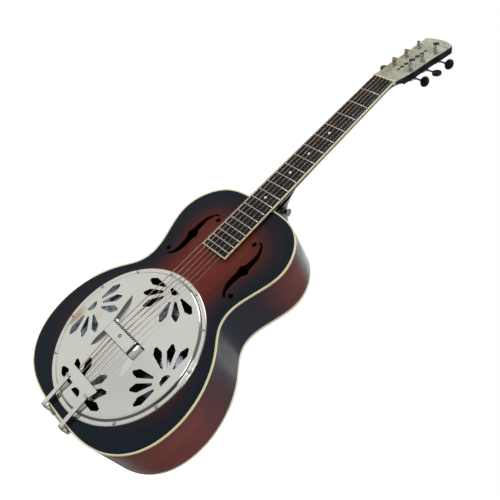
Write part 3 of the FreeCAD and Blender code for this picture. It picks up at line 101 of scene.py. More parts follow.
# ------------------------------------------------------------------ node helpers
class Nodes:
    """Short ways to add nodes to a tree; values may be numbers, colours or sockets."""

    def __init__(self, tree):
        self.tree = tree
        self._object = None

    def node(self, kind, **settings):
        node = self.tree.nodes.new("ShaderNode" + kind)
        for key, value in settings.items():
            setattr(node, key, value)
        return node

    def put(self, socket, value):
        if isinstance(value, bpy.types.NodeSocket):
            self.tree.links.new(value, socket)
        elif isinstance(value, (tuple, list)):
            opaque = len(socket.default_value) == 4 and len(value) == 3
            socket.default_value = tuple(value) + ((1.0,) if opaque else ())
        else:
            socket.default_value = value

    def where(self):
        if self._object is None:
            self._object = self.node("TexCoord").outputs["Object"]
        return self._object

    def xyz(self, vector=None):
        node = self.node("SeparateXYZ")
        self.put(node.inputs[0], vector if vector is not None else self.where())
        return node.outputs[0], node.outputs[1], node.outputs[2]

    def join(self, x, y, z):
        node = self.node("CombineXYZ")
        for socket, value in zip(node.inputs, (x, y, z)):
            self.put(socket, value)
        return node.outputs[0]

    def scaled(self, scale=(1.0, 1.0, 1.0), turn=(0.0, 0.0, 0.0)):
        node = self.node("Mapping")
        self.put(node.inputs["Vector"], self.where())
        node.inputs["Scale"].default_value = scale
        node.inputs["Rotation"].default_value = turn
        return node.outputs[0]

    def math(self, operation, a, b=0.0):
        node = self.node("Math", operation=operation)
        for socket, value in zip(node.inputs, (a, b, 0.0)):
            self.put(socket, value)
        return node.outputs[0]

    def plus(self, a, b):
        return self.math("ADD", a, b)

    def minus(self, a, b):
        return self.math("SUBTRACT", a, b)

    def times(self, a, b):
        return self.math("MULTIPLY", a, b)

    def over(self, a, b):
        return self.math("DIVIDE", a, b)

    def length(self, a, b):
        return self.math("SQRT", self.plus(self.times(a, a), self.times(b, b)))

    def gap(self, value, centre):
        return self.math("ABSOLUTE", self.minus(value, centre))

    def blend(self, a, b, share=0.5):
        return self.plus(self.times(a, share), self.times(b, 1.0 - share))

    def fade(self, value, span, to=(0.0, 1.0), smooth=True):
        """Runs from to[0] to to[1] while the value crosses the span."""
        node = self.node("MapRange", clamp=True,
                         interpolation_type="SMOOTHSTEP" if smooth else "LINEAR")
        self.put(node.inputs["Value"], value)
        for key, limit in zip(("From Min", "From Max", "To Min", "To Max"), (*span, *to)):
            self.put(node.inputs[key], limit)
        return node.outputs[0]

    def noise(self, vector, scale, detail, rough=0.5, distort=0.0, output=0):
        node = self.node("TexNoise")
        self.put(node.inputs["Vector"], vector)
        node.inputs["Scale"].default_value = scale
        node.inputs["Detail"].default_value = detail
        node.inputs["Roughness"].default_value = rough
        node.inputs["Distortion"].default_value = distort
        return node.outputs[output]

    def spots(self, scale, detail, rough=0.5, stretch=(1.0, 1.0, 1.0), turn=(0.0, 0.0, 0.0)):
        return self.noise(self.scaled(stretch, turn), scale, detail, rough)

    def stretched(self, place, stretch):
        return self.join(*[self.times(part, by) for part, by in zip(place, stretch)])

    def grain(self, place, stretch, detail, rough=0.5, distort=0.0):
        """Noise drawn out along the axis with the smallest stretch value."""
        return self.noise(self.stretched(place, stretch), 1.0, detail, rough, distort)

    def cells(self, vector, scale, output="Distance"):
        node = self.node("TexVoronoi", feature="F1")
        self.put(node.inputs["Vector"], vector)
        node.inputs["Scale"].default_value = scale
        return node.outputs[output]

    def ramp(self, value, stops):
        node = self.node("ValToRGB")
        self.put(node.inputs[0], value)
        elements = node.color_ramp.elements
        for element, (position, colour) in zip(elements, (stops[0], stops[-1])):
            element.position, element.color = position, (*colour, 1.0)
        for position, colour in stops[1:-1]:
            elements.new(position).color = (*colour, 1.0)
        return node.outputs[0]

    def curve(self, value, points):
        """A curve through points that run 0..1 on both axes."""
        node = self.node("FloatCurve")
        self.put(node.inputs["Value"], value)
        curve = node.mapping.curves[0]
        curve.points[0].location = points[0]
        curve.points[-1].location = points[-1]
        for point in points[1:-1]:
            curve.points.new(*point)
        for point in curve.points:
            point.handle_type = "AUTO"
        node.mapping.update()
        return node.outputs[0]

    def mix(self, amount, a, b, blend="MIX"):
        node = self.node("Mix", data_type="RGBA", blend_type=blend)
        self.put(node.inputs["Factor"], amount)
        colours = [s for s in node.inputs if s.type == "RGBA"]
        self.put(colours[0], a)
        self.put(colours[1], b)
        return [s for s in node.outputs if s.type == "RGBA"][0]

    def round_edges(self, radius):
        node = self.node("Bevel", samples=4)
        node.inputs["Radius"].default_value = radius
        return node.outputs[0]

    def bump(self, height, strength, distance, normal=None):
        node = self.node("Bump")
        self.put(node.inputs["Height"], height)
        node.inputs["Strength"].default_value = strength
        node.inputs["Distance"].default_value = distance
        if normal is not None:
            self.put(node.inputs["Normal"], normal)
        return node.outputs[0]


MATERIALS = {}


class Surface(Nodes):
    """A named material with one principled shader."""

    def __init__(self, name):
        material = bpy.data.materials.new(name)
        material.use_nodes = True
        super().__init__(material.node_tree)
        self.tree.nodes.clear()
        out = self.node("OutputMaterial")
        self.shader = self.node("BsdfPrincipled")
        self.put(out.inputs[0], self.shader.outputs[0])
        MATERIALS[name] = material

    def set(self, **values):
        for key, value in values.items():
            self.put(self.shader.inputs[key.replace("_", " ")], value)

    def source(self, name):
        return self.shader.inputs[name].links[0].from_socket


# ------------------------------------------------------------------ lacquered wood
def edge_distance(k):
    """Distance in mm from the body outline, from the half width and the end lines."""
    tall, wide, tail, high_from, high = 470.0, 180.0, 200.0, 100.0, 400.0   # curve spans, mm
    x, y, z = k.xyz()
    across_m = k.math("ABSOLUTE", x)
    up = k.times(z, 1000.0 / tall)
    widths = sorted((b / tall, a / wide) for a, b in OUTLINE if 1.5 < b < 464.5)
    half = k.times(k.curve(up, [(0.0, 0.19)] + widths + [(1.0, 0.2)]), wide)
    across = k.times(across_m, 1000.0 / wide)
    tail_line = [(a / wide, b / tail) for a, b in OUTLINE[::-1] if b < 124]
    neck_line = [(a / wide, (b - high_from) / high) for a, b in OUTLINE[:11] + OUTLINE[19:27]]
    floor_mm = k.times(k.curve(across, tail_line + [(1.0, 0.66)]), tail)
    ceiling_mm = k.plus(k.times(k.curve(across, neck_line + [(1.0, 0.03)]), high), high_from)
    side_gap = k.math("MAXIMUM", k.minus(half, k.times(across_m, 1000.0)), 0.01)
    z_mm = k.times(z, 1000.0)
    nearer = k.math("MINIMUM", k.minus(z_mm, floor_mm), k.minus(ceiling_mm, z_mm))
    end_gap = k.math("MAXIMUM", nearer, 0.01)
    diagonal = k.length(side_gap, end_gap)
    return k.over(k.times(side_gap, end_gap), diagonal)


def lacquer(k, colour, fibre, rough, radius, level):
    rounded = k.round_edges(radius)
    haze = k.spots(5.0, 4.0, stretch=(6.0, 6.0, 6.0))
    specks = k.spots(900.0, 2.0)
    dull = k.plus(k.fade(haze, (0.3, 0.75), to=(rough - 0.05, rough + 0.07)),
                  k.times(specks, 0.04))
    normal = k.bump(specks, strength=0.02, distance=0.0001, normal=rounded)
    normal = k.bump(fibre, strength=0.04, distance=0.0002, normal=normal)
    k.set(Base_Color=colour, Roughness=dull, Normal=normal, Specular_IOR_Level=level,
          Specular_Tint=(0.70, 0.85, 1.0))


def face_normal(k):
    return k.xyz(k.node("NewGeometry").outputs["True Normal"])


def painted_inner_shade(k, inside):
    """Painted shade on the inner faces, seen only through the openings: near black and dead
    flat.
    """
    k.set(Base_Color=k.mix(inside, k.source("Base Color"), (0.0040, 0.0030, 0.0025)))
    k.set(Roughness=k.plus(k.source("Roughness"), k.times(inside, 0.6)))
    level = k.shader.inputs["Specular IOR Level"].default_value
    k.set(Specular_IOR_Level=k.fade(inside, (0.0, 1.0), to=(level, 0.0)))


def make_top():
    """Sunburst: red wood in the middle, fading to near black towards the outline."""
    k = Surface("burst_top")
    edge = edge_distance(k)
    wander = k.spots(3.0, 2.0, stretch=(7.0, 7.0, 7.0))
    edge = k.plus(edge, k.times(k.minus(wander, 0.5), 14.0))
    x, y, z = place = k.xyz()
    # the dark border is wider at the tail
    edge = k.minus(edge, k.fade(z, (0.13, 0.05), to=(3.0, 16.0)))
    fibre = k.grain(place, (900.0, 300.0, 22.0), detail=4.0, rough=0.65)
    year = k.grain(place, (160.0, 60.0, 3.0), detail=2.0, distort=0.4)
    warm = k.ramp(k.blend(fibre, year, 0.55), [
        (0.30, (0.085, 0.0125, 0.0060)), (0.5, (0.135, 0.0205, 0.0095)),
        (0.72, (0.195, 0.034, 0.015))])
    burst = k.ramp(k.over(edge, 100.0), [
        (0.0, (0.006, 0.0095, 0.016)), (0.10, (0.006, 0.009, 0.015)),
        (0.24, (0.09, 0.10, 0.14)), (0.36, (0.36, 0.33, 0.36)),
        (0.52, (0.78, 0.75, 0.74)), (0.74, (1.0, 1.0, 1.0))])
    cold = k.ramp(k.over(edge, 100.0), [
        (0.0, (0.0052, 0.0090, 0.0150)), (0.22, (0.0050, 0.0075, 0.0120)),
        (0.5, (0.0, 0.0, 0.0)), (1.0, (0.0, 0.0, 0.0))])
    colour = k.mix(1.0, k.mix(1.0, warm, burst, "MULTIPLY"), cold, "ADD")
    lacquer(k, colour, fibre, rough=0.24, radius=0.0005, level=0.15)


def make_sides():
    k = Surface("burst_sides")
    x, y, z = place = k.xyz()
    fibre = k.grain(place, (30.0, 700.0, 30.0), detail=4.0, rough=0.6)
    band = k.grain(place, (8.0, 70.0, 8.0), detail=3.0)
    warm = k.ramp(k.blend(fibre, band), [
        (0.28, (0.100, 0.0170, 0.0095)), (0.5, (0.155, 0.0290, 0.0160)),
        (0.75, (0.220, 0.045, 0.024))])
    wander = k.spots(2.0, 1.0, stretch=(9.0, 9.0, 9.0))
    height = k.plus(z, k.times(k.minus(wander, 0.5), 0.02))
    # brightness from the tail to the neck end, dark at the waist and by the neck
    along = k.ramp(k.over(height, 0.5), [
        (0.0, (0.62, 0.62, 0.62)), (0.06, (0.8, 0.8, 0.8)), (0.14, (1.0, 1.0, 1.0)),
        (0.26, (0.95, 0.95, 0.95)), (0.37, (0.44, 0.42, 0.42)), (0.45, (0.14, 0.12, 0.12)),
        (0.55, (0.05, 0.04, 0.04)), (0.66, (0.14, 0.12, 0.12)), (0.75, (0.70, 0.67, 0.67)),
        (0.81, (0.80, 0.78, 0.78)), (0.87, (0.16, 0.15, 0.15)), (0.92, (0.03, 0.03, 0.03))])
    colour = k.mix(k.fade(k.math("ABSOLUTE", y), (0.036, 0.049), to=(0.0, 0.10)),
                   k.mix(1.0, warm, along, "MULTIPLY"), (0.006, 0.0055, 0.008))
    # painted sheen: a bluish grey added round the waist, standing in for the light reflected
    # there
    waist_sheen = k.fade(k.gap(height, 0.265), (0.15, 0.03))
    cold = k.mix(waist_sheen, (0.0060, 0.0095, 0.0130), (0.0125, 0.0235, 0.0330))
    colour = k.mix(1.0, colour, cold, "ADD")
    # the binding laps a little way round onto the sides at the back
    back = k.plus(y, k.times(z, 0.02042))
    colour = k.mix(k.fade(back, (0.04400, 0.04410)), colour, (0.660, 0.630, 0.470))
    lacquer(k, colour, fibre, rough=0.30, radius=0.0008, level=0.20)
    # painted shade on the inner faces of the ribs
    painted_inner_shade(k, k.fade(k.times(face_normal(k)[0], x), (-0.00005, -0.00015)))


def make_back():
    k = Surface("burst_back")
    edge = edge_distance(k)
    place = k.xyz()
    fibre = k.grain(place, (700.0, 200.0, 18.0), detail=4.0, rough=0.65)
    curl = k.grain(place, (90.0, 30.0, 4.0), detail=3.0, distort=0.6)
    warm = k.ramp(k.blend(fibre, curl), [
        (0.28, (0.070, 0.010, 0.007)), (0.5, (0.125, 0.018, 0.011)),
        (0.75, (0.190, 0.034, 0.017))])
    burst = k.ramp(k.over(edge, 100.0), [
        (0.0, (0.02, 0.02, 0.03)), (0.12, (0.08, 0.08, 0.10)),
        (0.30, (0.45, 0.42, 0.42)), (0.6, (1.0, 1.0, 1.0))])
    colour = k.mix(1.0, k.mix(1.0, warm, burst, "MULTIPLY"), (0.0035, 0.0050, 0.0080), "ADD")
    lacquer(k, colour, fibre, rough=0.26, radius=0.0006, level=0.4)
    # painted shade on the inner face of the back
    painted_inner_shade(k, k.fade(face_normal(k)[1], (-0.2, -0.4)))


def make_neck():
    k = Surface("neck_satin")
    x, y, z = place = k.xyz()
    fibre = k.grain(place, (800.0, 800.0, 16.0), detail=4.0, rough=0.65)
    curl = k.grain(place, (60.0, 60.0, 5.0), detail=2.0)
    warm = k.ramp(k.blend(fibre, curl), [
        (0.3, (0.016, 0.0065, 0.0055)), (0.55, (0.030, 0.0105, 0.0085)),
        (0.75, (0.044, 0.015, 0.011))])
    # dark at the heel and again at the headstock; stops are heights in metres
    along = k.ramp(k.over(z, 1.0), [
        (0.44, (0.16, 0.20, 0.26)), (0.50, (0.22, 0.26, 0.32)), (0.58, (1.0, 1.0, 1.0)),
        (0.72, (1.0, 1.0, 1.0)), (0.785, (0.18, 0.20, 0.24)), (1.0, (0.14, 0.15, 0.18))])
    colour = k.mix(1.0, k.mix(1.0, warm, along, "MULTIPLY"), (0.0030, 0.0036, 0.0055), "ADD")
    lacquer(k, colour, fibre, rough=0.36, radius=0.0010, level=0.36)


# ------------------------------------------------------------------ bare wood and binding
def make_binding(name, colour, dark):
    k = Surface(name)
    lines = k.grain(k.xyz(), (60.0, 1800.0, 60.0), detail=3.0, rough=0.6)
    tone = k.spots(1.5, 3.0, stretch=(30.0, 30.0, 30.0))
    grime = k.spots(260.0, 4.0, rough=0.7)
    colour = k.mix(k.fade(tone, (0.3, 0.75), to=(0.0, 0.35)), colour, dark)
    colour = k.mix(k.fade(lines, (0.45, 0.8), to=(0.0, 0.30)), colour, dark)
    colour = k.mix(k.fade(grime, (0.66, 0.82), to=(0.0, 0.25)), colour, (0.22, 0.16, 0.08))
    rounded = k.round_edges(0.0005)
    k.set(Base_Color=colour, Roughness=k.fade(grime, (0.2, 0.8), to=(0.24, 0.42)),
          Normal=k.bump(lines, strength=0.08, distance=0.0002, normal=rounded),
          Specular_IOR_Level=0.45, Subsurface_Weight=0.08,
          Subsurface_Radius=(0.002, 0.0015, 0.0008), Subsurface_Scale=0.4)


def make_wood(name, tones, rough, along=2):
    """Open-grained wood in three tones, with its grain running along one axis."""
    k = Surface(name)
    place = k.xyz()
    fine, broad = [700.0] * 3, [70.0] * 3
    fine[along], broad[along] = 20.0, 3.0
    fibre = k.grain(place, fine, detail=4.0, rough=0.65)
    rings = k.grain(place, broad, detail=2.0, distort=0.8)
    pores = k.cells(k.stretched(place, [v * 1.6 for v in fine]), 1.0)
    figure = k.ramp(k.blend(fibre, rings), list(zip((0.3, 0.5, 0.72), tones)))
    colour = k.mix(k.fade(pores, (0.18, 0.05), to=(0.0, 0.55)), figure, tones[0])
    k.set(Base_Color=colour, Specular_IOR_Level=0.35,
          Roughness=k.fade(fibre, (0.2, 0.8), to=(rough - 0.1, rough + 0.15)),
          Normal=k.bump(fibre, strength=0.25, distance=0.0003, normal=k.round_edges(0.0005)))
    return k


def make_well():
    """Dark wood with a painted cool glow in patches on the bass side of the well, for the light
    seen through the openings.
    """
    wood = make_wood("well_dark", ((0.006, 0.005, 0.005), (0.010, 0.008, 0.007),
                                   (0.016, 0.012, 0.010)), rough=0.7)
    k = Nodes(wood.tree)
    x, y, z = k.xyz()
    side = k.fade(x, (-0.045, -0.085))
    lane = k.fade(k.gap(z, COVER_Z), (0.085, 0.060))
    patches = k.fade(k.spots(75.0, 3.0, stretch=(1.0, 1.0, 0.5)), (0.36, 0.66), to=(0.05, 2.1))
    # painted glow: emission standing in for light in the well
    wood.set(Emission_Color=(0.085, 0.100, 0.115),
             Emission_Strength=k.times(k.times(side, lane), patches))


def make_board():
    k = Surface("dark_board")
    place = k.xyz()
    fibre = k.grain(place, (1400.0, 900.0, 40.0), detail=5.0, rough=0.7)
    streak = k.grain(place, (240.0, 200.0, 6.0), detail=3.0, rough=0.6, distort=0.5)
    pores = k.cells(k.stretched(place, (1500.0, 1500.0, 130.0)), 1.0)
    dirt = k.spots(2.0, 3.0, stretch=(20.0, 20.0, 20.0))
    colour = k.ramp(k.blend(fibre, streak, 0.45), [
        (0.30, (0.0035, 0.0032, 0.0032)), (0.50, (0.0070, 0.0060, 0.0056)),
        (0.72, (0.0170, 0.0135, 0.0115))])
    colour = k.mix(k.fade(pores, (0.22, 0.06), to=(0.0, 0.8)), colour, (0.0035, 0.0030, 0.0028))
    rough = k.plus(k.fade(dirt, (0.3, 0.7), to=(0.40, 0.54)), k.times(pores, 0.1))
    normal = k.bump(fibre, strength=0.15, distance=0.0003, normal=k.round_edges(0.0003))
    k.set(Base_Color=colour, Roughness=rough, Specular_IOR_Level=0.20,
          Normal=k.bump(pores, strength=0.22, distance=0.0003, normal=normal))


# ------------------------------------------------------------------ metal
def painted_leg_highlights(k):
    """Painted highlights on the bends: a pale painted glow on the legs and a white painted
    glint on one corner.
    """
    x, y, z = k.xyz()
    across = k.over(k.minus(x, 0.0366), 0.0017)
    along = k.over(k.minus(z, 0.1532), 0.0052)
    corner_glint = k.fade(k.length(across, along), (1.15, 0.75))
    leg_highlight = k.fade(y, (-0.0710, -0.0600), to=(0.30, 0.17))
    # emission as painted highlight and painted glint
    k.set(Emission_Color=(1.0, 1.0, 0.97), Emission_Strength=k.plus(leg_highlight, corner_glint))


def make_metal(name, colour, rough, radius=0.0004, wave=0.0, scratch=0.03, dark=None,
               brushed=None, tarnish=0.25, stains=()):
    """Polished metal. wave is the slow swell of the sheet, scratch the fine relief,
    dark and tarnish the tone and strength of the spots, brushed a stretch for streaks."""
    k = Surface(name)
    spots = k.spots(45.0, 5.0, rough=0.65)
    smear = k.spots(1.3, 4.0, rough=0.6, stretch=(40.0, 9.0, 14.0), turn=(0.2, 0.4, 0.7))
    hairs = k.spots(1.0, 2.0, stretch=(260.0, 4000.0, 900.0), turn=(0.5, 0.2, 1.1))
    pits = k.cells(k.scaled(), 420.0)
    rounded = k.round_edges(radius)
    dark = dark or tuple(v * 0.62 for v in colour)
    colour = k.mix(k.fade(spots, (0.50, 0.78), to=(0.0, tarnish)), colour, dark)
    if stains:
        x, y, z = k.xyz()
        for stain_x, stain_z, reach_x, reach_z, tone, most in stains:
            away = k.length(k.over(k.minus(x, stain_x), reach_x),
                            k.over(k.minus(z, stain_z), reach_z))
            away = k.plus(away, k.times(k.minus(spots, 0.5), 1.2))
            colour = k.mix(k.fade(away, (1.1, 0.25), to=(0.0, most)), colour, tone)
    worn = k.plus(k.fade(smear, (0.35, 0.75), to=(rough * 0.75, rough * 1.35)),
                  k.fade(pits, (0.10, 0.03), to=(0.0, 0.12)))
    height = k.plus(k.times(hairs, 0.5), k.fade(pits, (0.09, 0.02), to=(0.0, -0.6)))
    normal = k.bump(height, scratch, distance=0.0002, normal=rounded)
    if brushed:
        streaks = k.spots(1.0, 3.0, rough=0.6, stretch=brushed)
        normal = k.bump(streaks, strength=0.07, distance=0.0002, normal=normal)
        worn = k.plus(worn, k.times(streaks, 0.08))
    if wave:
        normal = k.bump(k.spots(13.0, 1.0), wave, distance=0.002, normal=normal)
    k.set(Base_Color=colour, Metallic=1.0, Roughness=worn, Normal=normal)
    return k


def make_shade():
    """Rolled edge of the hand rest: painted dark as a painted reflection of the dark gap, with
    pale ticks painted as reflections of the strings.
    """
    k = Surface("plated_shade")
    x, y, z = k.xyz()
    wander = k.spots(1.0, 3.0, rough=0.7, stretch=(160.0, 20.0, 20.0))
    string_glints = k.math("SINE", k.plus(k.times(x, 1150.0), k.times(wander, 4.0)))
    # painted reflection: dark base broken by pale painted string glints
    colour = k.mix(k.fade(string_glints, (0.25, 0.75), to=(0.0, 0.9)),
                   (0.012, 0.012, 0.011), (0.42, 0.42, 0.38))
    k.set(Base_Color=colour, Metallic=0.25, Specular_IOR_Level=0.2,
          Roughness=k.fade(wander, (0.3, 0.7), to=(0.25, 0.45)),
          Normal=k.bump(wander, strength=0.1, distance=0.0002))


def make_string(name, colour, dark, rough, pitch=None):
    """String metal; pitch is the spacing of the winding in metres, if it is wound."""
    k = Surface(name)
    tone = k.spots(90.0, 4.0, rough=0.7)
    colour = k.mix(k.fade(tone, (0.35, 0.75), to=(0.0, 0.7)), colour, dark)
    normal = k.bump(k.spots(2600.0, 2.0), strength=0.08, distance=0.0001)
    worn = k.fade(tone, (0.3, 0.8), to=(rough - 0.05, rough + 0.14))
    if pitch:
        z = k.xyz()[2]
        ridge = k.math("ABSOLUTE", k.math("SINE", k.times(z, math.pi / pitch)))
        normal = k.bump(ridge, strength=0.22, distance=0.0001, normal=normal)
        # painted shade darkening the grooves between the windings
        colour = k.mix(k.fade(ridge, (0.35, 0.0), to=(0.0, 0.6)), colour,
                       tuple(v * 0.25 for v in dark))
    k.set(Base_Color=colour, Metallic=1.0, Roughness=worn, Normal=normal)


def make_cone():
    """Spun aluminium: rings about the cone's centre, darkened as painted shade, and a painted
    cool sheen glowing on the bass side.
    """
    k = Surface("spun_aluminium")
    x, y, z = k.xyz()
    up = k.minus(z, COVER_Z)
    radius = k.length(x, up)
    angle = k.math("ARCTAN2", up, x)
    rings = k.noise(k.join(k.times(radius, 1400.0), k.times(angle, 1.5), 0.0),
                    scale=1.0, detail=3.0, rough=0.7)
    broad = k.noise(k.join(k.times(radius, 120.0), k.times(angle, 2.0), 3.0),
                    scale=1.0, detail=2.0)
    colour = k.ramp(broad, [
        (0.3, (0.30, 0.33, 0.38)), (0.55, (0.44, 0.47, 0.53)), (0.8, (0.56, 0.60, 0.66))])
    # painted shade: the aluminium darkened overall, for the cone lying in shade under the
    # coverplate
    colour = k.mix(1.0, colour, (0.55, 0.56, 0.58), "MULTIPLY")
    # painted sheen: emission on the bass side, standing in for reflected light
    lane = k.fade(k.gap(z, COVER_Z), (0.080, 0.055))
    painted_sheen = k.times(k.times(lane, k.fade(x, (-0.045, -0.075))),
                    k.fade(k.spots(1.0, 3.0, stretch=(55.0, 55.0, 80.0)), (0.30, 0.70),
                           to=(0.10, 1.9)))
    normal = k.bump(broad, strength=0.10, distance=0.001)
    k.set(Base_Color=colour, Metallic=1.0, Roughness=k.fade(rings, (0.2, 0.8), to=(0.16, 0.32)),
          Normal=k.bump(rings, strength=0.16, distance=0.0003, normal=normal),
          Emission_Color=(0.085, 0.104, 0.112), Emission_Strength=painted_sheen)


# ------------------------------------------------------------------ pearl and plastic
def make_pearl():
    k = Surface("pearl_face")
    where = k.scaled()
    swirl = k.noise(where, scale=60.0, detail=3.0, output="Color")
    warp = k.node("VectorMath", operation="MULTIPLY_ADD")
    k.put(warp.inputs[0], swirl)
    warp.inputs[1].default_value = (0.018, 0.018, 0.018)
    k.put(warp.inputs[2], where)
    warped = warp.outputs[0]
    flakes = k.cells(warped, 120.0, "Color")
    edge = k.cells(warped, 120.0)
    red, green, blue = k.xyz(flakes)
    cloud = k.noise(warped, scale=90.0, detail=4.0, rough=0.6)
    tone = k.blend(red, cloud, 0.55)
    colour = k.ramp(tone, [
        (0.12, (0.255, 0.270, 0.190)), (0.35, (0.330, 0.345, 0.250)),
        (0.55, (0.400, 0.410, 0.305)), (0.78, (0.480, 0.485, 0.375)),
        (0.95, (0.580, 0.575, 0.460))])
    colour = k.mix(k.fade(green, (0.5, 1.0), to=(0.0, 0.22)), colour, (0.42, 0.38, 0.27))
    colour = k.mix(k.fade(blue, (0.6, 1.0), to=(0.0, 0.14)), colour, (0.30, 0.36, 0.30))
    k.set(Base_Color=colour, Roughness=k.fade(tone, (0.1, 0.9), to=(0.34, 0.20)),
          Specular_IOR_Level=0.3, Coat_Weight=0.15, Coat_Roughness=0.2, Sheen_Weight=0.1,
          Normal=k.bump(edge, strength=0.10, distance=0.0003, normal=k.round_edges(0.0004)))


def make_plastic(name, colour, other, rough, radius, scale):
    k = Surface(name)
    mottle = k.spots(scale, 4.0, rough=0.6)
    dust = k.spots(1500.0, 2.0)
    colour = k.mix(k.fade(mottle, (0.35, 0.75), to=(0.0, 0.8)), colour, other)
    worn = k.plus(k.fade(mottle, (0.3, 0.7), to=(rough - 0.05, rough + 0.1)),
                  k.times(dust, 0.06))
    k.set(Base_Color=colour, Roughness=worn, Specular_IOR_Level=0.5,
          Normal=k.bump(dust, strength=0.05, distance=0.0002, normal=k.round_edges(radius)))


# ------------------------------------------------------------------ the set of materials
make_top()
make_sides()
make_back()
make_binding("cream_binding", (0.700, 0.655, 0.400), dark=(0.560, 0.500, 0.270))
make_wood("inside_wood", ((0.10, 0.055, 0.028), (0.17, 0.10, 0.055), (0.26, 0.16, 0.09)),
          rough=0.7)
make_well()
make_wood("maple", ((0.36, 0.24, 0.13), (0.50, 0.36, 0.20), (0.62, 0.47, 0.29)),
          rough=0.5, along=0)
make_neck()
make_board()
SHEET_STAINS = (   # centre x and z, reach in x and z (metres), tone, greatest strength
    (-0.1165, 0.118, 0.011, 0.030, (0.42, 0.32, 0.17), 0.85),
    (-0.082, 0.147, 0.016, 0.014, (0.66, 0.63, 0.48), 0.55),
)
make_metal("plated_sheet", (0.730, 0.725, 0.690), rough=0.115, wave=0.03, scratch=0.02,
           dark=(0.64, 0.62, 0.58), tarnish=0.18, stains=SHEET_STAINS)
painted_leg_highlights(make_metal("plated_leg", (0.700, 0.700, 0.670), rough=0.34, scratch=0.02))
make_shade()
make_metal("plated_small", (0.700, 0.690, 0.650), rough=0.15, radius=0.0003, scratch=0.04)
make_pearl()
make_metal("fret_wire", (0.720, 0.715, 0.690), rough=0.20, radius=0.0002, scratch=0.04,
           brushed=(3000.0, 200.0, 200.0))
make_plastic("pearl_dot", (0.86, 0.86, 0.82), other=(0.66, 0.68, 0.66),
             rough=0.22, radius=0.0002, scale=500.0)
make_binding("nut_white", (0.640, 0.640, 0.470), dark=(0.500, 0.490, 0.330))
make_metal("rod_steel", (0.42, 0.42, 0.43), rough=0.34, radius=0.0002)
make_string("wound_bronze", (0.830, 0.560, 0.400), dark=(0.560, 0.340, 0.220),
            rough=0.46, pitch=0.00034)
make_string("plain_steel", (0.820, 0.810, 0.790), dark=(0.560, 0.540, 0.520), rough=0.38)
make_metal("ball_brass", (0.720, 0.520, 0.240), rough=0.24, radius=0.0003)
make_metal("tuner_plate", (0.660, 0.650, 0.620), rough=0.22, radius=0.0003, scratch=0.05)
make_metal("tuner_metal", (0.690, 0.680, 0.650), rough=0.16, radius=0.0003, scratch=0.05)
make_metal("gear_brass", (0.640, 0.450, 0.200), rough=0.26, radius=0.0002, scratch=0.05)
make_plastic("button_black", (0.0065, 0.0065, 0.0070), other=(0.0120, 0.0115, 0.0115),
             rough=0.20, radius=0.0006, scale=120.0)
make_plastic("ornament_black", (0.012, 0.012, 0.013), other=(0.030, 0.028, 0.026),
             rough=0.25, radius=0.0002, scale=300.0)
make_cone()

# Material of each loaded piece; a piece that isn't listed is plated_small.
PAINT = {
    "top_plate": "burst_top", "top_binding": "cream_binding", "back_binding": "cream_binding",
    "back_plate": "burst_back", "side_ribs": "burst_sides", "linings": "inside_wood",
    "tail_block": "inside_wood", "neck_block": "inside_wood", "braces": "inside_wood",
    "soundwell": "well_dark", "resonator_cone": "spun_aluminium", "biscuit": "maple",
    "string_ball_ends": "ball_brass", "saddle": "maple", "coverplate": "plated_sheet",
    "hand_rest": "plated_sheet", "neck": "neck_satin", "truss_rod": "rod_steel",
    "headstock_veneer": "pearl_face", "fingerboard": "dark_board",
    "fingerboard_binding": "cream_binding", "frets": "fret_wire", "fret_dots": "pearl_dot",
    "nut": "nut_white", "tailpiece_bracket": "plated_sheet",
    "tailpiece_frame": "plated_sheet", "tuner_baseplates": "tuner_plate",
    "wound_strings": "wound_bronze", "plain_strings": "plain_steel",
}
for number in range(1, 7):
    PAINT["string_post_%d" % number] = "tuner_metal"
    PAINT["worm_wheel_%d" % number] = "gear_brass"
    PAINT["worm_shaft_%d" % number] = "tuner_metal"
    PAINT["tuner_button_%d" % number] = "button_black"

for name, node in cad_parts.items():
    paint = PAINT.get(name, "plated_small")
    node.data.materials.clear()
    node.data.materials.append(MATERIALS[paint])


# ------------------------------------------------------------------ mesh helpers
def add_mesh(name, verts, faces, material, rides="body", normals=None, smooth=True):
    mesh = bpy.data.meshes.new(name)
    mesh.from_pydata([tuple(map(float, v)) for v in verts], [],
                     [tuple(map(int, f)) for f in faces])
    mesh.update()
    mesh.polygons.foreach_set("use_smooth", [smooth] * len(mesh.polygons))
    if normals is not None:
        mesh.normals_split_custom_set_from_vertices([tuple(map(float, v)) for v in normals])
    mesh.materials.append(MATERIALS[material])
    mesh.update()
    item = bpy.data.objects.new(name, mesh)
    SCENE.collection.objects.link(item)
    if rides:
        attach(item, rides)
    return item


def ring_faces(rings, count, flip=False):
    """Quads between successive closed rings of count points."""
    faces = []
    for i in range(rings - 1):
        for j in range(count):
            here, beside = i * count + j, i * count + (j + 1) % count
            quad = (here, beside, beside + count, here + count)
            faces.append(quad[:1] + quad[:0:-1] if flip else quad)
    return faces


def ring_cap(ring, count):
    return tuple(range(ring * count, (ring + 1) * count))


def tube(points, radius, sides):
    points = np.array(points, float)
    tangents = np.gradient(points, axis=0)
    tangents /= np.linalg.norm(tangents, axis=1)[:, None]
    first = np.cross(tangents[0], (0.0, 1.0, 0.0))
    across = first / np.linalg.norm(first)
    verts = []
    for point, tangent in zip(points, tangents):
        # carry the last cross direction along, so that the tube doesn't twist
        across = across - tangent * np.dot(across, tangent)
        across /= np.linalg.norm(across)
        other = np.cross(tangent, across)
        for j in range(sides):
            angle = 2 * math.pi * j / sides
            verts.append(point + radius * (math.cos(angle) * across + math.sin(angle) * other))
    faces = ring_faces(len(points), sides)
    faces += [ring_cap(0, sides)[::-1], ring_cap(len(points) - 1, sides)]
    return verts, faces


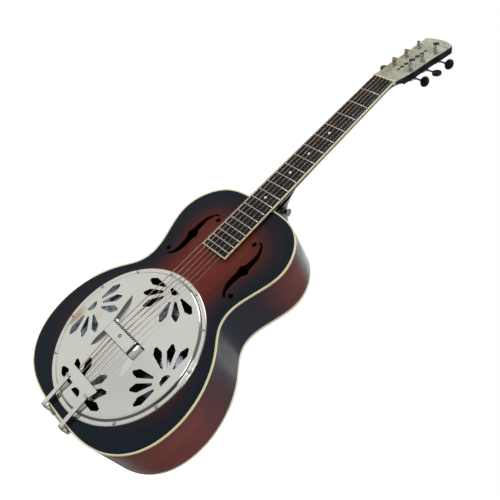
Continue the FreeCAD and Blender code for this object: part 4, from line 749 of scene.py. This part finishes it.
def corner_curve(before, corner, after, cut_before, cut_after, steps):
    start = corner + (before - corner) / np.linalg.norm(before - corner) * cut_before
    end = corner + (after - corner) / np.linalg.norm(after - corner) * cut_after
    return [(1 - t) ** 2 * start + 2 * t * (1 - t) * corner + t * t * end
            for t in (j / steps for j in range(steps + 1))]


def bend_path(corners, radius, steps=8):
    """Straight runs between corners, each corner rounded over the given length."""
    points = [np.array(p, float) for p in corners]
    path = [points[0]]
    for a, b, c in zip(points, points[1:], points[2:]):
        cut = min(radius, np.linalg.norm(b - a) * 0.4, np.linalg.norm(c - b) * 0.4)
        path += corner_curve(a, b, c, cut, cut, steps)
    return path + [points[-1]]


def fill(path, gap):
    """Adds points so that no run is longer than gap."""
    out = [path[0]]
    for a, b in zip(path, path[1:]):
        parts = max(1, int(math.ceil(np.linalg.norm(b - a) / gap)))
        out += [a + (b - a) * j / parts for j in range(1, parts + 1)]
    return out


def smoothstep(t):
    t = np.clip(t, 0.0, 1.0)
    return t * t * (3.0 - 2.0 * t)


# ------------------------------------------------------------------ strings
# number: (string radius, distance of its post along the head)
STRINGS = {
    1: (0.165, 50.7), 2: (0.216, 85.2), 3: (0.33, 121.3),
    4: (0.445, 121.3), 5: (0.57, 85.2), 6: (0.71, 50.7),
}
POST_X, POST_RADIUS = 18.2, 2.6
POST_SHIFT = 0.6                    # the string meets its post this far past the post distance
TAIL_PITCH, SADDLE_PITCH, NUT_PITCH = 9.6, 10.7, 7.5
COIL_LOW, COIL_HIGH = 5.35, 8.35    # extent of the coil on the post, out of the head


def build_string(n, radius, post_along, side, material):
    place = 3.5 - n                 # in string spacings from the centre line
    # string 3 passes further inside its post
    clear = 2 * radius + 0.18 if n == 3 else 0.04
    path = bend_path([
        face(place * TAIL_PITCH, 66.3, 8.25),
        face(place * SADDLE_PITCH, SADDLE_Y, 13.8),
        face(place * NUT_PITCH, 783.7, 9.65 + radius),
        face(place * NUT_PITCH, 786.6, 9.35 + radius),
        head(side * (POST_X - POST_RADIUS - radius - clear), post_along, 6.6),
    ], 0.0016)
    verts, faces = tube(fill(path, 0.012), radius / 1000.0, 10)
    string = add_mesh("string_%d" % n, verts, faces, material, rides=None)
    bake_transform(string)
    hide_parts("plain_strings" if n <= 2 else "wound_strings")


def build_coil(n, radius, post_along, side, material):
    """Turns of string round the post, and the cut end."""
    ring = POST_RADIUS + radius + 0.02
    low, high = COIL_LOW + radius, COIL_HIGH - radius
    pitch = max(2 * radius * 1.04, 0.42)
    turns = min(max((high - low) / pitch, 1.2), 7.0)
    if n == 3:
        turns -= 0.4                # keeps the cut end clear of the string
    steps = int(turns * 26)
    start = math.pi if side > 0 else 0.0
    coil = []
    for i in range(steps + 1):
        t = i / steps
        angle = start - side * 2 * math.pi * turns * t
        coil.append(np.array(head(side * POST_X + ring * math.cos(angle),
                                  post_along + ring * math.sin(angle),
                                  high + (low - high) * t)))
    last = start - side * 2 * math.pi * turns
    outward = np.array([math.cos(last), math.sin(last)])
    onward = np.array([-math.sin(last), math.cos(last)]) * -side
    base = np.array([side * POST_X, post_along]) + ring * outward
    for i in range(1, 7):
        t = i / 6.0
        x, along = base + onward * 2.6 * t + outward * 0.9 * t * t
        coil.append(np.array(head(x, along, low + 0.5 * t)))
    verts, faces = tube(coil, radius / 1000.0, 8)
    add_mesh("string_coil_%d" % n, verts, faces, material, rides="post_%d" % n)


for number, (radius, post_along) in STRINGS.items():
    details = (number, radius, post_along + POST_SHIFT, 1.0 if number <= 3 else -1.0,
               "plain_steel" if number <= 2 else "wound_bronze")
    build_string(*details)
    build_coil(*details)

# ------------------------------------------------------------------ coverplate
# Here x and y are measured from the centre of the plate.
COVER_RADIUS = 135.7
DOME_RADIUS, STEP_RADIUS = 117.0, 128.6
RIM_ROUND = 0.9                     # rounding of the outer edge
LIP_WIDTH, LIP_DROP = 0.42, 0.22    # turned-down lip round each opening
RIM_STEPS = 288
RIM_RADII = [
    135.7, 135.55, 135.2, 134.6, 132.0, 130.2, 129.2, 128.8, 128.65, 128.55,
    128.3, 127.9, 127.4, 126.8, 126.1, 125.2, 124.2, 123.0, 121.4, 119.4,
]
# Pressed shoulders either side of the hand rest: (y from the saddle, crest x, foot x)
SHOULDER_RISE = 2.6
SHOULDER_FROM, SHOULDER_TO = -42.0, 61.0
SHOULDER = [
    (-42.0, 45.3, 45.3), (-34.0, 46.0, 39.0), (-26.0, 46.0, 35.0), (-18.0, 45.4, 32.6),
    (-10.0, 44.7, 31.0), (1.0, 44.2, 30.4), (12.0, 45.0, 31.0), (22.0, 47.5, 33.0),
    (36.0, 51.8, 38.6), (50.0, 55.8, 47.6), (61.0, 58.8, 58.8),
]
shoulder_up, crest_x, foot_x = np.array(SHOULDER).T
CREST_CURVE = np.polyfit(shoulder_up, crest_x, 5)
FOOT_CURVE = np.polyfit(shoulder_up, foot_x, 5)


def shoulder_lines(up):
    up = np.clip(up, SHOULDER_FROM, SHOULDER_TO)
    crest = np.polyval(CREST_CURVE, up)
    return crest, np.minimum(np.polyval(FOOT_CURVE, up), crest - 0.3)


def shoulder_section(x, y):
    across, up = np.abs(x), y - SADDLE_UP
    inside = (up > SHOULDER_FROM) & (up < SHOULDER_TO)
    crest, foot = shoulder_lines(up)
    size = (crest - foot) / 14.0
    climb = np.clip((across - foot) / (crest - foot), 0.0, 1.0)
    return across, up, inside, crest, foot, size, climb


def shoulder_height(x, y):
    """One crisp slope facing the strings, long and soft on the other side."""
    across, up, inside, crest, foot, size, climb = shoulder_section(x, y)
    size = np.clip(size, 0.0, 1.1)
    high = SHOULDER_RISE * size
    wall = high * (0.88 * climb + 0.12 * climb * climb)
    outer = high * (1.0 - smoothstep((across - crest) / (64.0 * np.sqrt(size) + 0.4)))
    z = np.where(across <= foot, 0.0, np.where(across <= crest, wall, outer))
    return np.where(inside, z, 0.0)


def shoulder_slope(x, y):
    """Shading slopes: the wall reads as one crisp plane, the rest of the sheet stays calm."""
    across, up, inside, crest, foot, size, climb = shoulder_section(x, y)
    wall = inside & (across >= foot - 1e-4) & (across <= crest + 1e-4)
    start = 0.44 - 0.24 * np.clip(size, 0.0, 1.0)
    lean = np.where(x < 0, start + (0.47 - start) * climb ** 0.7, 0.10 + 0.08 * climb)
    slope_x = np.where(wall, np.sign(x) * lean, 0.0)
    lit = np.exp(-((up - 14.5) / 4.2) ** 2)
    slope_y = np.where(wall & (x < 0) & (up > 0.0), 0.13 - 0.16 * lit, 0.0)
    return slope_x, slope_y


def dome_height(x, y):
    """The round plate without its shoulders: dome, step down, flat rim, rounded edge."""
    r = np.hypot(x, y)
    dome = 4.1 + 5.1 * (0.5 + 0.5 * np.cos(np.pi * np.minimum(r, DOME_RADIUS) / DOME_RADIUS))
    u = np.clip((r - DOME_RADIUS) / (STEP_RADIUS - DOME_RADIUS), 0.0, 1.0)
    step = np.where(r < STEP_RADIUS, 1.0 + 3.1 * (1.0 - u ** 6), 1.0)
    edge = np.clip((r - (COVER_RADIUS - RIM_ROUND)) / RIM_ROUND, 0.0, 1.0)
    drop = (1.0 - np.sqrt(np.clip(1.0 - edge ** 2, 0.0, 1.0))) * RIM_ROUND
    return np.where(r < DOME_RADIUS, dome, step) - drop


def petal(angle):
    """A long opening that points away from a hub at x = 109, turned by angle degrees."""
    cos_turn, sin_turn = math.cos(math.radians(angle)), math.sin(math.radians(angle))
    side = [(21.0, 1.5), (47.0, 6.9), (57.8, 1.9)]      # (distance from the hub, half width)
    outline = side + [(d, -w) for d, w in side[::-1]]
    return [(109.0 - d * cos_turn - w * sin_turn, -d * sin_turn + w * cos_turn)
            for d, w in outline]


HALF_MOON = [(109.8 - 8.6 * math.sin(math.pi * i / 12.0), -10.0 * math.cos(math.pi * i / 12.0))
             for i in range(13)]


def signed_area(loop):
    x, y = loop[:, 0], loop[:, 1]
    return 0.5 * np.sum(x * np.roll(y, -1) - np.roll(x, -1) * y)


def rounded_loop(corners, cut, gap):
    """Rounds the corners, spaces the points evenly and runs anticlockwise."""
    corners = [np.array(p, float) for p in corners]
    curve = []
    for i, corner in enumerate(corners):
        before, after = corners[i - 1], corners[(i + 1) % len(corners)]
        cuts = [min(cut, np.linalg.norm(p - corner) * 0.45) for p in (before, after)]
        curve += corner_curve(before, corner, after, *cuts, 4)
    dense = []
    for a, b in zip(curve, curve[1:] + curve[:1]):
        run = np.linalg.norm(b - a)
        if run < 1e-6:
            continue
        parts = max(1, int(round(run / gap)))
        dense += [a + (b - a) * j / parts for j in range(parts)]
    dense = np.array(dense)
    return dense if signed_area(dense) > 0 else dense[::-1]


def outward(steps):
    """Unit directions to the right of each step, so outward from an anticlockwise loop."""
    steps = steps / np.linalg.norm(steps, axis=1)[:, None]
    return np.stack([steps[:, 1], -steps[:, 0]], 1)


def make_openings():
    """Four quarters of six petals and a half moon, then the window over the saddle."""
    loops = []
    shapes = [(petal(a), 0.3) for a in (-79, -52, -25, 25, 52, 79)] + [(HALF_MOON, 0.4)]
    for turn in range(4):
        c, s = math.cos(math.pi / 2 * turn), math.sin(math.pi / 2 * turn)
        for shape, cut in shapes:
            loops.append(rounded_loop([(x * c - y * s, x * s + y * c) for x, y in shape],
                                      cut, 0.9))
    low, high, half = SADDLE_UP - 9.0, SADDLE_UP + 9.0, 31.5
    window = [(-half, low), (half, low), (half, high), (-half, high)]
    loops.append(rounded_loop(window, 1.5, 1.2))
    return loops


def inside_loop(px, py, loop):
    hit = np.zeros(len(px), bool)
    for (x0, y0), (x1, y1) in zip(loop, np.roll(loop, -1, 0)):
        crosses = (y0 > py) != (y1 > py)
        if crosses.any():
            rise = (y1 - y0) if abs(y1 - y0) > 1e-12 else 1e-12
            hit ^= crosses & (px < (x1 - x0) * (py - y0) / rise + x0)
    return hit


def loop_distance(px, py, loop):
    best = np.full(len(px), 1e9)
    steps = np.roll(loop, -1, 0) - loop
    squares = (steps ** 2).sum(1)
    for (x, y), (dx, dy), square in zip(loop, steps, squares):
        t = np.clip(((px - x) * dx + (py - y) * dy) / square, 0, 1)
        best = np.minimum(best, np.hypot(px - x - t * dx, py - y - t * dy))
    return best


def near_loop(points, loop, reach):
    """Indices of the points in a square about the middle of the loop."""
    return np.where((np.abs(points[:, 0] - loop[:, 0].mean()) < reach)
                    & (np.abs(points[:, 1] - loop[:, 1].mean()) < reach))[0]


def rim_points():
    points = []
    for row, r in enumerate(RIM_RADII):
        for j in range(RIM_STEPS):
            angle = 2 * math.pi * (j + 0.5 * (row % 2)) / RIM_STEPS
            points.append((r * math.cos(angle), r * math.sin(angle)))
    return np.array(points)


def field_points(openings):
    """Rings of points over the dome, finer rows round the shoulders, none in an opening."""
    rings = []
    r, odd = 116.6, 0
    while r > 3.0:
        count = int(2 * math.pi * r / 2.6)
        for j in range(count):
            angle = 2 * math.pi * (j + 0.5 * odd) / count
            rings.append((r * math.cos(angle), r * math.sin(angle)))
        r -= 2.4
        odd ^= 1
    rings.append((0.0, 0.0))
    rings = np.array(rings)

    fine = []
    for up in np.arange(-43.0, 62.5, 0.9):
        crest, foot = shoulder_lines(up)
        row = list(np.linspace(foot, crest, 9)) + [foot - 0.8, foot - 2.0]
        row += [crest + d for d in (0.35, 0.9, 1.8, 3.2)]
        y = up + SADDLE_Y - COVER_Y
        for x in row:
            fine += [(x, y), (-x, y)]

    across, up = np.abs(rings[:, 0]), rings[:, 1] - SADDLE_UP
    held = np.clip(up, SHOULDER_FROM, SHOULDER_TO)
    crowded = ((up > -43.5) & (up < 62.5) & (across > np.polyval(FOOT_CURVE, held) - 2.6)
               & (across < np.polyval(CREST_CURVE, held) + 4.0))
    field = np.vstack([rings[~crowded], np.array(fine)])
    for loop in openings:
        near = near_loop(field, loop, 45)
        x, y = field[near].T
        bad = inside_loop(x, y, loop) | (loop_distance(x, y, loop) < LIP_WIDTH + 0.35)
        field = np.delete(field, near[bad], 0)
    return field


def triangulate(openings):
    """Flat sheet with its openings cut out: points and anticlockwise triangles."""
    rim = rim_points()
    stacks, edges, total = [rim], [], len(rim)
    for loop in openings:
        count = len(loop)
        edges += [(total + i, total + (i + 1) % count) for i in range(count)]
        stacks.append(loop)
        away = outward(np.roll(loop, -1, 0) - np.roll(loop, 1, 0))
        stacks += [loop + away * d for d in (0.14, 0.28, LIP_WIDTH)]
        total += 4 * count
    stacks.append(field_points(openings))
    points = [Vector((float(x), float(y))) for x, y in np.vstack(stacks)]
    result = geometry.delaunay_2d_cdt(points, edges, [], 0, 1e-5, True)
    flat = np.array([(v.x, v.y) for v in result[0]])
    triangles = np.array([f for f in result[2] if len(f) == 3])
    middle = flat[triangles].mean(1)
    drop = np.zeros(len(triangles), bool)
    for loop in openings:
        boxed = ((middle > loop.min(0)) & (middle < loop.max(0))).all(1)
        idx = np.where(boxed)[0]
        drop[idx] |= inside_loop(middle[idx, 0], middle[idx, 1], loop)
    triangles = triangles[~drop]
    a, b, c = (flat[triangles[:, i]] for i in range(3))
    area = (b[:, 0] - a[:, 0]) * (c[:, 1] - a[:, 1]) - (c[:, 0] - a[:, 0]) * (b[:, 1] - a[:, 1])
    return flat, np.where((area < 0)[:, None], triangles[:, ::-1], triangles)


def sheet_normals(flat, dist, openings):
    x, y = flat.T
    e = 0.05
    slope = np.stack([(dome_height(x + e, y) - dome_height(x - e, y)) / (2 * e),
                      (dome_height(x, y + e) - dome_height(x, y - e)) / (2 * e)], 1)
    slope += np.stack(shoulder_slope(x, y), 1)
    # slope of the lip, pointing away from the opening
    for loop in openings:
        idx = near_loop(flat, loop, 42)
        idx = idx[dist[idx] < LIP_WIDTH]
        idx = idx[loop_distance(x[idx], y[idx], loop) < LIP_WIDTH]
        ahead = np.roll(loop, -1, 0)
        middle, away = (loop + ahead) / 2, outward(ahead - loop)
        squares = ((flat[idx][:, None] - middle[None]) ** 2).sum(2)
        weight = 1.0 / (squares + 0.02) ** 2
        dirs = (weight[:, :, None] * away[None]).sum(1)
        dirs /= np.linalg.norm(dirs, axis=1)[:, None]
        steep = 2 * LIP_DROP * (1 - np.clip(dist[idx] / LIP_WIDTH, 0, 1)) / LIP_WIDTH * 1.6
        slope[idx] += steep[:, None] * dirs
    normal = np.column_stack([-slope, np.ones(len(flat))])
    r = np.hypot(x, y)
    edge = r > 135.3
    normal[edge] = np.stack([x[edge] / r[edge] * 0.8, y[edge] / r[edge] * 0.8,
                             np.full(edge.sum(), 0.6)], 1)
    return normal / np.linalg.norm(normal, axis=1)[:, None]


def build_cover():
    openings = make_openings()
    flat, triangles = triangulate(openings)
    dist = np.full(len(flat), 9.0)
    for loop in openings:
        idx = near_loop(flat, loop, 42)
        dist[idx] = np.minimum(dist[idx], loop_distance(flat[idx, 0], flat[idx, 1], loop))
    lip = LIP_DROP * (1.0 - np.clip(dist / LIP_WIDTH, 0.0, 1.0)) ** 2
    x, y = flat.T
    z = dome_height(x, y) + shoulder_height(x, y) - lip
    normal = sheet_normals(flat, dist, openings)
    verts = [face(px, py + COVER_Y, pz) for (px, py), pz in zip(flat, z)]
    normals = [(nx, -nz, ny) for nx, ny, nz in normal]
    faces = [tuple(t) for t in triangles]

    # walls down through the sheet at each opening and at the outside edge
    sides = dict.fromkeys((f[i], f[(i + 1) % 3]) for f in faces for i in range(3))
    border = [(a, b) for a, b in sides if (b, a) not in sides]
    bottom, top = {}, {}
    for v in (v for pair in border for v in pair):
        if v in bottom:
            continue
        px, py = flat[v]
        outside = math.hypot(px, py) > 130.0
        level = normal[v][:2]
        # guards against an upright normal, which gives the wall no direction
        if np.hypot(*level) <= 1e-4:
            level = np.array([1.0, 0.0])
        level = level / np.linalg.norm(level)
        bottom[v] = len(verts)
        verts.append(face(px, py + COVER_Y, 0.02 if outside else z[v] - 0.85))
        top[v] = len(verts)
        verts.append(face(px, py + COVER_Y, z[v] - (0.02 if outside else 0.04)))
        normals += [(level[0], 0.0, level[1])] * 2
    for a, b in border:
        faces.append((b, a, top[a], top[b]))
        faces.append((top[b], top[a], bottom[a], bottom[b]))
    cover = add_mesh("coverplate_shell", verts, faces, "plated_sheet", normals=normals)
    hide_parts("coverplate")


build_cover()

# ------------------------------------------------------------------ hand rest
REST_TOP = 22.38
REST_WIDTH = 25.0
REST_START = SADDLE_Y - 11.0
# corners of the bridge seen along the strings: (x, z)
REST_CORNERS = [
    (-41.6, 8.0), (-39.9, 13.4), (-34.6, REST_TOP), (34.6, REST_TOP), (39.9, 13.4), (41.6, 8.0),
]


def roll(radius, steps):
    """Quarter circle from the side up to the top: (across, height)."""
    angles = [math.pi / 2 * i / steps for i in range(steps + 1)]
    return [(radius * (1 - math.cos(a)), -radius * (1 - math.sin(a))) for a in angles]


def build_rest():
    line = fill(bend_path([(x, z, 0) for x, z in REST_CORNERS], 5.2, 12), 3.0)
    line = np.array(line)[:, :2]
    tangents = np.gradient(line, axis=0)
    tangents /= np.linalg.norm(tangents, axis=1)[:, None]
    low_roll, high_roll = roll(1.7, 5), roll(3.4, 8)
    # closed cross-section: tail edge, top, neck edge, then back along the underside
    section = [(0.0, -2.2)] + low_roll + [(REST_WIDTH * 0.3, 0.0), (REST_WIDTH * 0.6, 0.0)]
    first_high = len(section)
    section += [(REST_WIDTH - v, h) for v, h in high_roll[::-1]]
    section += [(REST_WIDTH - v, h) for v, h in (
        (0.0, -3.6), (0.9, -3.6), (1.0, -2.8), (2.2, -1.4), (3.6, -1.1))]
    section += [(2.4, -1.1), (1.1, -1.5), (0.9, -2.2)]
    count = len(section)
    verts = []
    for (x, z), (tx, tz) in zip(line, tangents):
        verts += [face(x - tz * h, REST_START + v, z + tx * h) for v, h in section]
    faces = ring_faces(len(line), count, flip=True)
    faces += [ring_cap(0, count), ring_cap(len(line) - 1, count)[::-1]]
    rest = add_mesh("hand_rest_shell", verts, faces, "plated_sheet")
    rest.data.materials.append(MATERIALS["plated_shade"])
    rest.data.materials.append(MATERIALS["plated_leg"])
    for i, poly in enumerate(rest.data.polygons):
        station, j = divmod(i, count)
        if station >= len(line) - 1:
            continue
        # rolled edges carry the painted dark reflection, legs the painted highlights
        if j <= 4 or j >= first_high:
            poly.material_index = 1         # rolled edges and underside
        elif abs(line[station][0]) > 36.5 or abs(line[station + 1][0]) > 36.5:
            poly.material_index = 2         # legs
    rest.data.set_sharp_from_angle(angle=math.radians(40))
    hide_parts("hand_rest")


# Bolt through the hand rest: (radius, height)
BOLT_PROFILE = [
    (3.3, -0.14), (3.2, -0.06), (2.9, -0.035), (1.8, -0.035), (1.6, -0.10),
    (1.45, -0.03), (1.1, -0.012), (0.7, -0.01), (0.5, -0.10),
]


def build_bolt():
    count = 36
    verts = []
    for r, z in BOLT_PROFILE:
        for j in range(count):
            angle = 2 * math.pi * j / count
            # six-sided socket in the middle
            reach = r * (1.0 + (0.06 * math.cos(6 * angle) if r < 0.8 else 0.0))
            verts.append(face(reach * math.cos(angle),
                              SADDLE_Y + 1.5 + reach * math.sin(angle), 22.5 + z))
    faces = ring_faces(len(BOLT_PROFILE), count, flip=True)
    faces.append(ring_cap(len(BOLT_PROFILE) - 1, count)[::-1])
    bolt = add_mesh("rest_bolt", verts, faces, "button_black")
    bolt.data.materials.append(MATERIALS["plated_small"])
    for i, poly in enumerate(bolt.data.polygons):
        poly.material_index = 1 if 4 <= i // count < 7 else 0


build_rest()
build_bolt()


# ------------------------------------------------------------------ spun cone
def build_cone():
    count = 160
    # (radius, z): flange, then the cone with shallow spun ridges, then the flat middle
    profile = [(120.6, -31.8), (120.6, -31.0), (118.6, -31.0), (117.0, -31.0), (116.2, -30.9)]
    r = 115.4
    while r > 22.5:
        t = (116.0 - r) / (116.0 - 22.0)
        z = -31.0 + (31.8 - 4.0 - 1.6) * t ** 0.92
        z += 0.05 * math.sin(r * 2.2) * smoothstep((115.4 - r) / 6.0)
        profile.append((r, z))
        r -= 0.9
    profile += [(22.2, -4.15), (21.0, -4.02), (18.0, -4.0), (10.0, -4.0), (1.5, -4.0)]
    verts = []
    for r, z in profile:
        for j in range(count):
            angle = 2 * math.pi * j / count
            verts.append(face(r * math.cos(angle), COVER_Y + r * math.sin(angle), z - 0.02))
    cone = add_mesh("cone_shell", verts, ring_faces(len(profile), count), "spun_aluminium")
    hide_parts("resonator_cone")


build_cone()

# ------------------------------------------------------------------ headstock ornament
# (distance along the head, half width, half length)
LOZENGES = [
    (42.0, 3.6, 4.2), (52.0, 4.6, 5.4), (64.5, 5.4, 6.8), (80.0, 6.6, 8.4),
    (95.5, 5.4, 6.8), (108.0, 4.6, 5.4), (118.0, 3.6, 4.2), (150.0, 7.5, 7.5),
]


def lozenge(along, half_width, half_length, lift=0.16, count=32):
    """Four-pointed shape with hollow sides, slightly raised."""
    outline = []
    for i in range(count):
        c, s = math.cos(2 * math.pi * i / count), math.sin(2 * math.pi * i / count)
        outline.append((half_width * math.copysign(abs(c) ** 1.9, c),
                        half_length * math.copysign(abs(s) ** 1.9, s)))
    verts = []
    # each ring: shrink across, shrink along, height
    for thin, short, out in ((1.0, 1.0, -0.05), (1.0, 1.0, lift * 0.6), (0.86, 0.94, lift)):
        verts += [head(x * thin, along + y * short, out) for x, y in outline]
    verts.append(head(0.0, along, lift))
    faces = ring_faces(3, count)
    faces += [(2 * count + i, 2 * count + (i + 1) % count, 3 * count) for i in range(count)]
    return verts, faces


def build_ornament():
    verts, faces = [], []
    for station in LOZENGES:
        more_verts, more_faces = lozenge(*station)
        faces += [tuple(len(verts) + i for i in f) for f in more_faces]
        verts += more_verts
    add_mesh("head_ornament", verts, faces, "ornament_black", smooth=False)


build_ornament()


# ------------------------------------------------------------------ floor
def make_floor_material():
    """Near white to the camera, grey to the light it gives back, unseen in reflections."""
    material = bpy.data.materials.new("floor_pale")
    material.use_nodes = True
    k = Nodes(material.node_tree)
    k.tree.nodes.clear()
    out = k.node("OutputMaterial")

    def glow(colour, strength):
        node = k.node("Emission")
        k.put(node.inputs["Color"], colour)
        k.put(node.inputs["Strength"], strength)
        return node.outputs[0]

    def choose(ray, otherwise, chosen):
        node = k.node("MixShader")
        for socket, value in zip(node.inputs, (rays.outputs[ray], otherwise, chosen)):
            k.put(socket, value)
        return node.outputs[0]

    matt = k.node("BsdfDiffuse")
    k.put(matt.inputs["Color"], (0.86, 0.86, 0.86))
    pale = k.node("AddShader")
    k.put(pale.inputs[0], matt.outputs[0])
    k.put(pale.inputs[1], glow((1.0, 1.0, 1.0), strength=0.93))
    grey = glow((0.42, 0.42, 0.43), strength=1.0)
    rays = k.node("LightPath")
    seen = choose("Is Camera Ray", grey, pale.outputs[0])
    clear = k.node("BsdfTransparent").outputs[0]
    k.put(out.inputs[0], choose("Is Glossy Ray", seen, clear))
    return material


def build_floor():
    z = bounds_loaded[0][2] - 0.0006
    mesh = bpy.data.meshes.new("floor")
    corners = [(-40, -40, z), (40, -40, z), (40, 40, z), (-40, 40, z)]
    mesh.from_pydata(corners, [], [(0, 1, 2, 3)])
    floor = bpy.data.objects.new("floor", mesh)
    SCENE.collection.objects.link(floor)
    mesh.materials.append(make_floor_material())


build_floor()

# ------------------------------------------------------------------ camera
camera_data = bpy.data.cameras.new("camera")
camera_data.sensor_width = 36.0
camera_data.lens = 44.032
camera_data.clip_start = 0.02
camera_data.clip_end = 200.0
camera = bpy.data.objects.new("camera", camera_data)
SCENE.collection.objects.link(camera)
camera.matrix_world = Matrix((
    (0.6471834, -0.4492039, 0.6159297, 0.6522396),
    (0.3398766, -0.5531891, -0.7605693, -0.79491),
    (0.6823763, 0.701568, -0.2053409, 0.1851881),
    (0.0, 0.0, 0.0, 1.0)))
SCENE.camera = camera

# ------------------------------------------------------------------ world
# Brightness from straight down (0) to straight up (1): in reflections, and on matt surfaces
ROOM = [
    (0.0, (0.10, 0.10, 0.105)), (0.35, (0.14, 0.14, 0.145)), (0.5, (0.22, 0.22, 0.22)),
    (0.65, (0.17, 0.17, 0.175)), (1.0, (0.20, 0.20, 0.21)),
]
SOFT = [(0.0, (0.55, 0.55, 0.55)), (0.5, (0.95, 0.95, 0.95)), (1.0, (1.30, 1.30, 1.30))]
# Patches in the reflected room, later ones over earlier ones:
# direction, angle of the full patch, angle where it ends (degrees), colour
PATCHES = [
    ((-0.97, 0.05, 0.05), 30, 62, (0.62, 0.62, 0.60)),
    ((0.80, 0.55, 0.10), 18, 50, (0.30, 0.31, 0.34)),
    ((-0.50, 0.86, 0.05), 25, 45, (0.62, 0.62, 0.60)),
    ((-0.70, -0.71, -0.02), 23, 31, (0.80, 0.81, 0.78)),
    ((-0.42, -0.86, -0.28), 8, 20, (0.66, 0.67, 0.65)),
    ((-0.93, -0.34, -0.12), 3, 16, (0.66, 0.65, 0.61)),
    ((0.12, -0.99, -0.03), 10, 26, (0.11, 0.115, 0.108)),
    ((0.62, -0.78, -0.03), 14, 30, (0.020, 0.021, 0.022)),
    ((-0.15, -0.98, 0.12), 2.5, 5.5, (8.0, 8.0, 7.8)),
]


def build_world():
    world = bpy.data.worlds.new("studio")
    SCENE.world = world
    world.use_nodes = True
    k = Nodes(world.node_tree)
    k.tree.nodes.clear()
    out = k.node("OutputWorld")
    direction = k.node("TexCoord").outputs["Generated"]
    up = k.xyz(direction)[2]
    room = k.ramp(k.fade(up, (-1.0, 1.0), smooth=False), ROOM)
    for towards, inner, outer, colour in PATCHES:
        dot = k.node("VectorMath", operation="DOT_PRODUCT")
        k.put(dot.inputs[0], direction)
        dot.inputs[1].default_value = Vector(towards).normalized()
        limits = (math.cos(math.radians(outer)), math.cos(math.radians(inner)))
        room = k.mix(k.fade(dot.outputs["Value"], limits), room, colour)
    soft = k.ramp(k.fade(up, (-1.0, 1.0), smooth=False), SOFT)
    rays = k.node("LightPath")
    colour = k.mix(rays.outputs["Is Diffuse Ray"], room, soft)
    colour = k.mix(rays.outputs["Is Camera Ray"], colour, (1.0, 1.0, 1.0))
    background = k.node("Background")
    k.put(background.inputs["Color"], colour)
    background.inputs["Strength"].default_value = 1.0
    k.put(out.inputs["Surface"], background.outputs[0])


build_world()


# ------------------------------------------------------------------ lights
def area_light(name, place, target, size, power, colour=(1.0, 1.0, 1.0)):
    light = bpy.data.lights.new(name, "AREA")
    light.shape = "DISK"
    light.size = size
    light.energy = power
    light.color = colour
    lamp = bpy.data.objects.new(name, light)
    SCENE.collection.objects.link(lamp)
    lamp.location = place
    aim = Vector(target) - Vector(place)
    lamp.rotation_euler = aim.to_track_quat("-Z", "Y").to_euler()


area_light("key_soft", place=(-0.9, -1.9, 1.9), target=(0.0, 0.0, 0.35), size=1.1, power=14.0,
           colour=(1.0, 0.99, 0.97))
area_light("fill_soft", place=(2.2, -0.9, 1.0), target=(0.0, 0.0, 0.4), size=1.4, power=6.0,
           colour=(0.96, 0.98, 1.0))
area_light("back_soft", place=(-0.4, 2.2, 1.6), target=(0.0, 0.0, 0.4), size=1.4, power=8.0)

SCENE.view_settings.view_transform = "Standard"
SCENE.view_settings.look = "None"
SCENE.view_settings.exposure = 0.0
SCENE.view_settings.gamma = 1.0
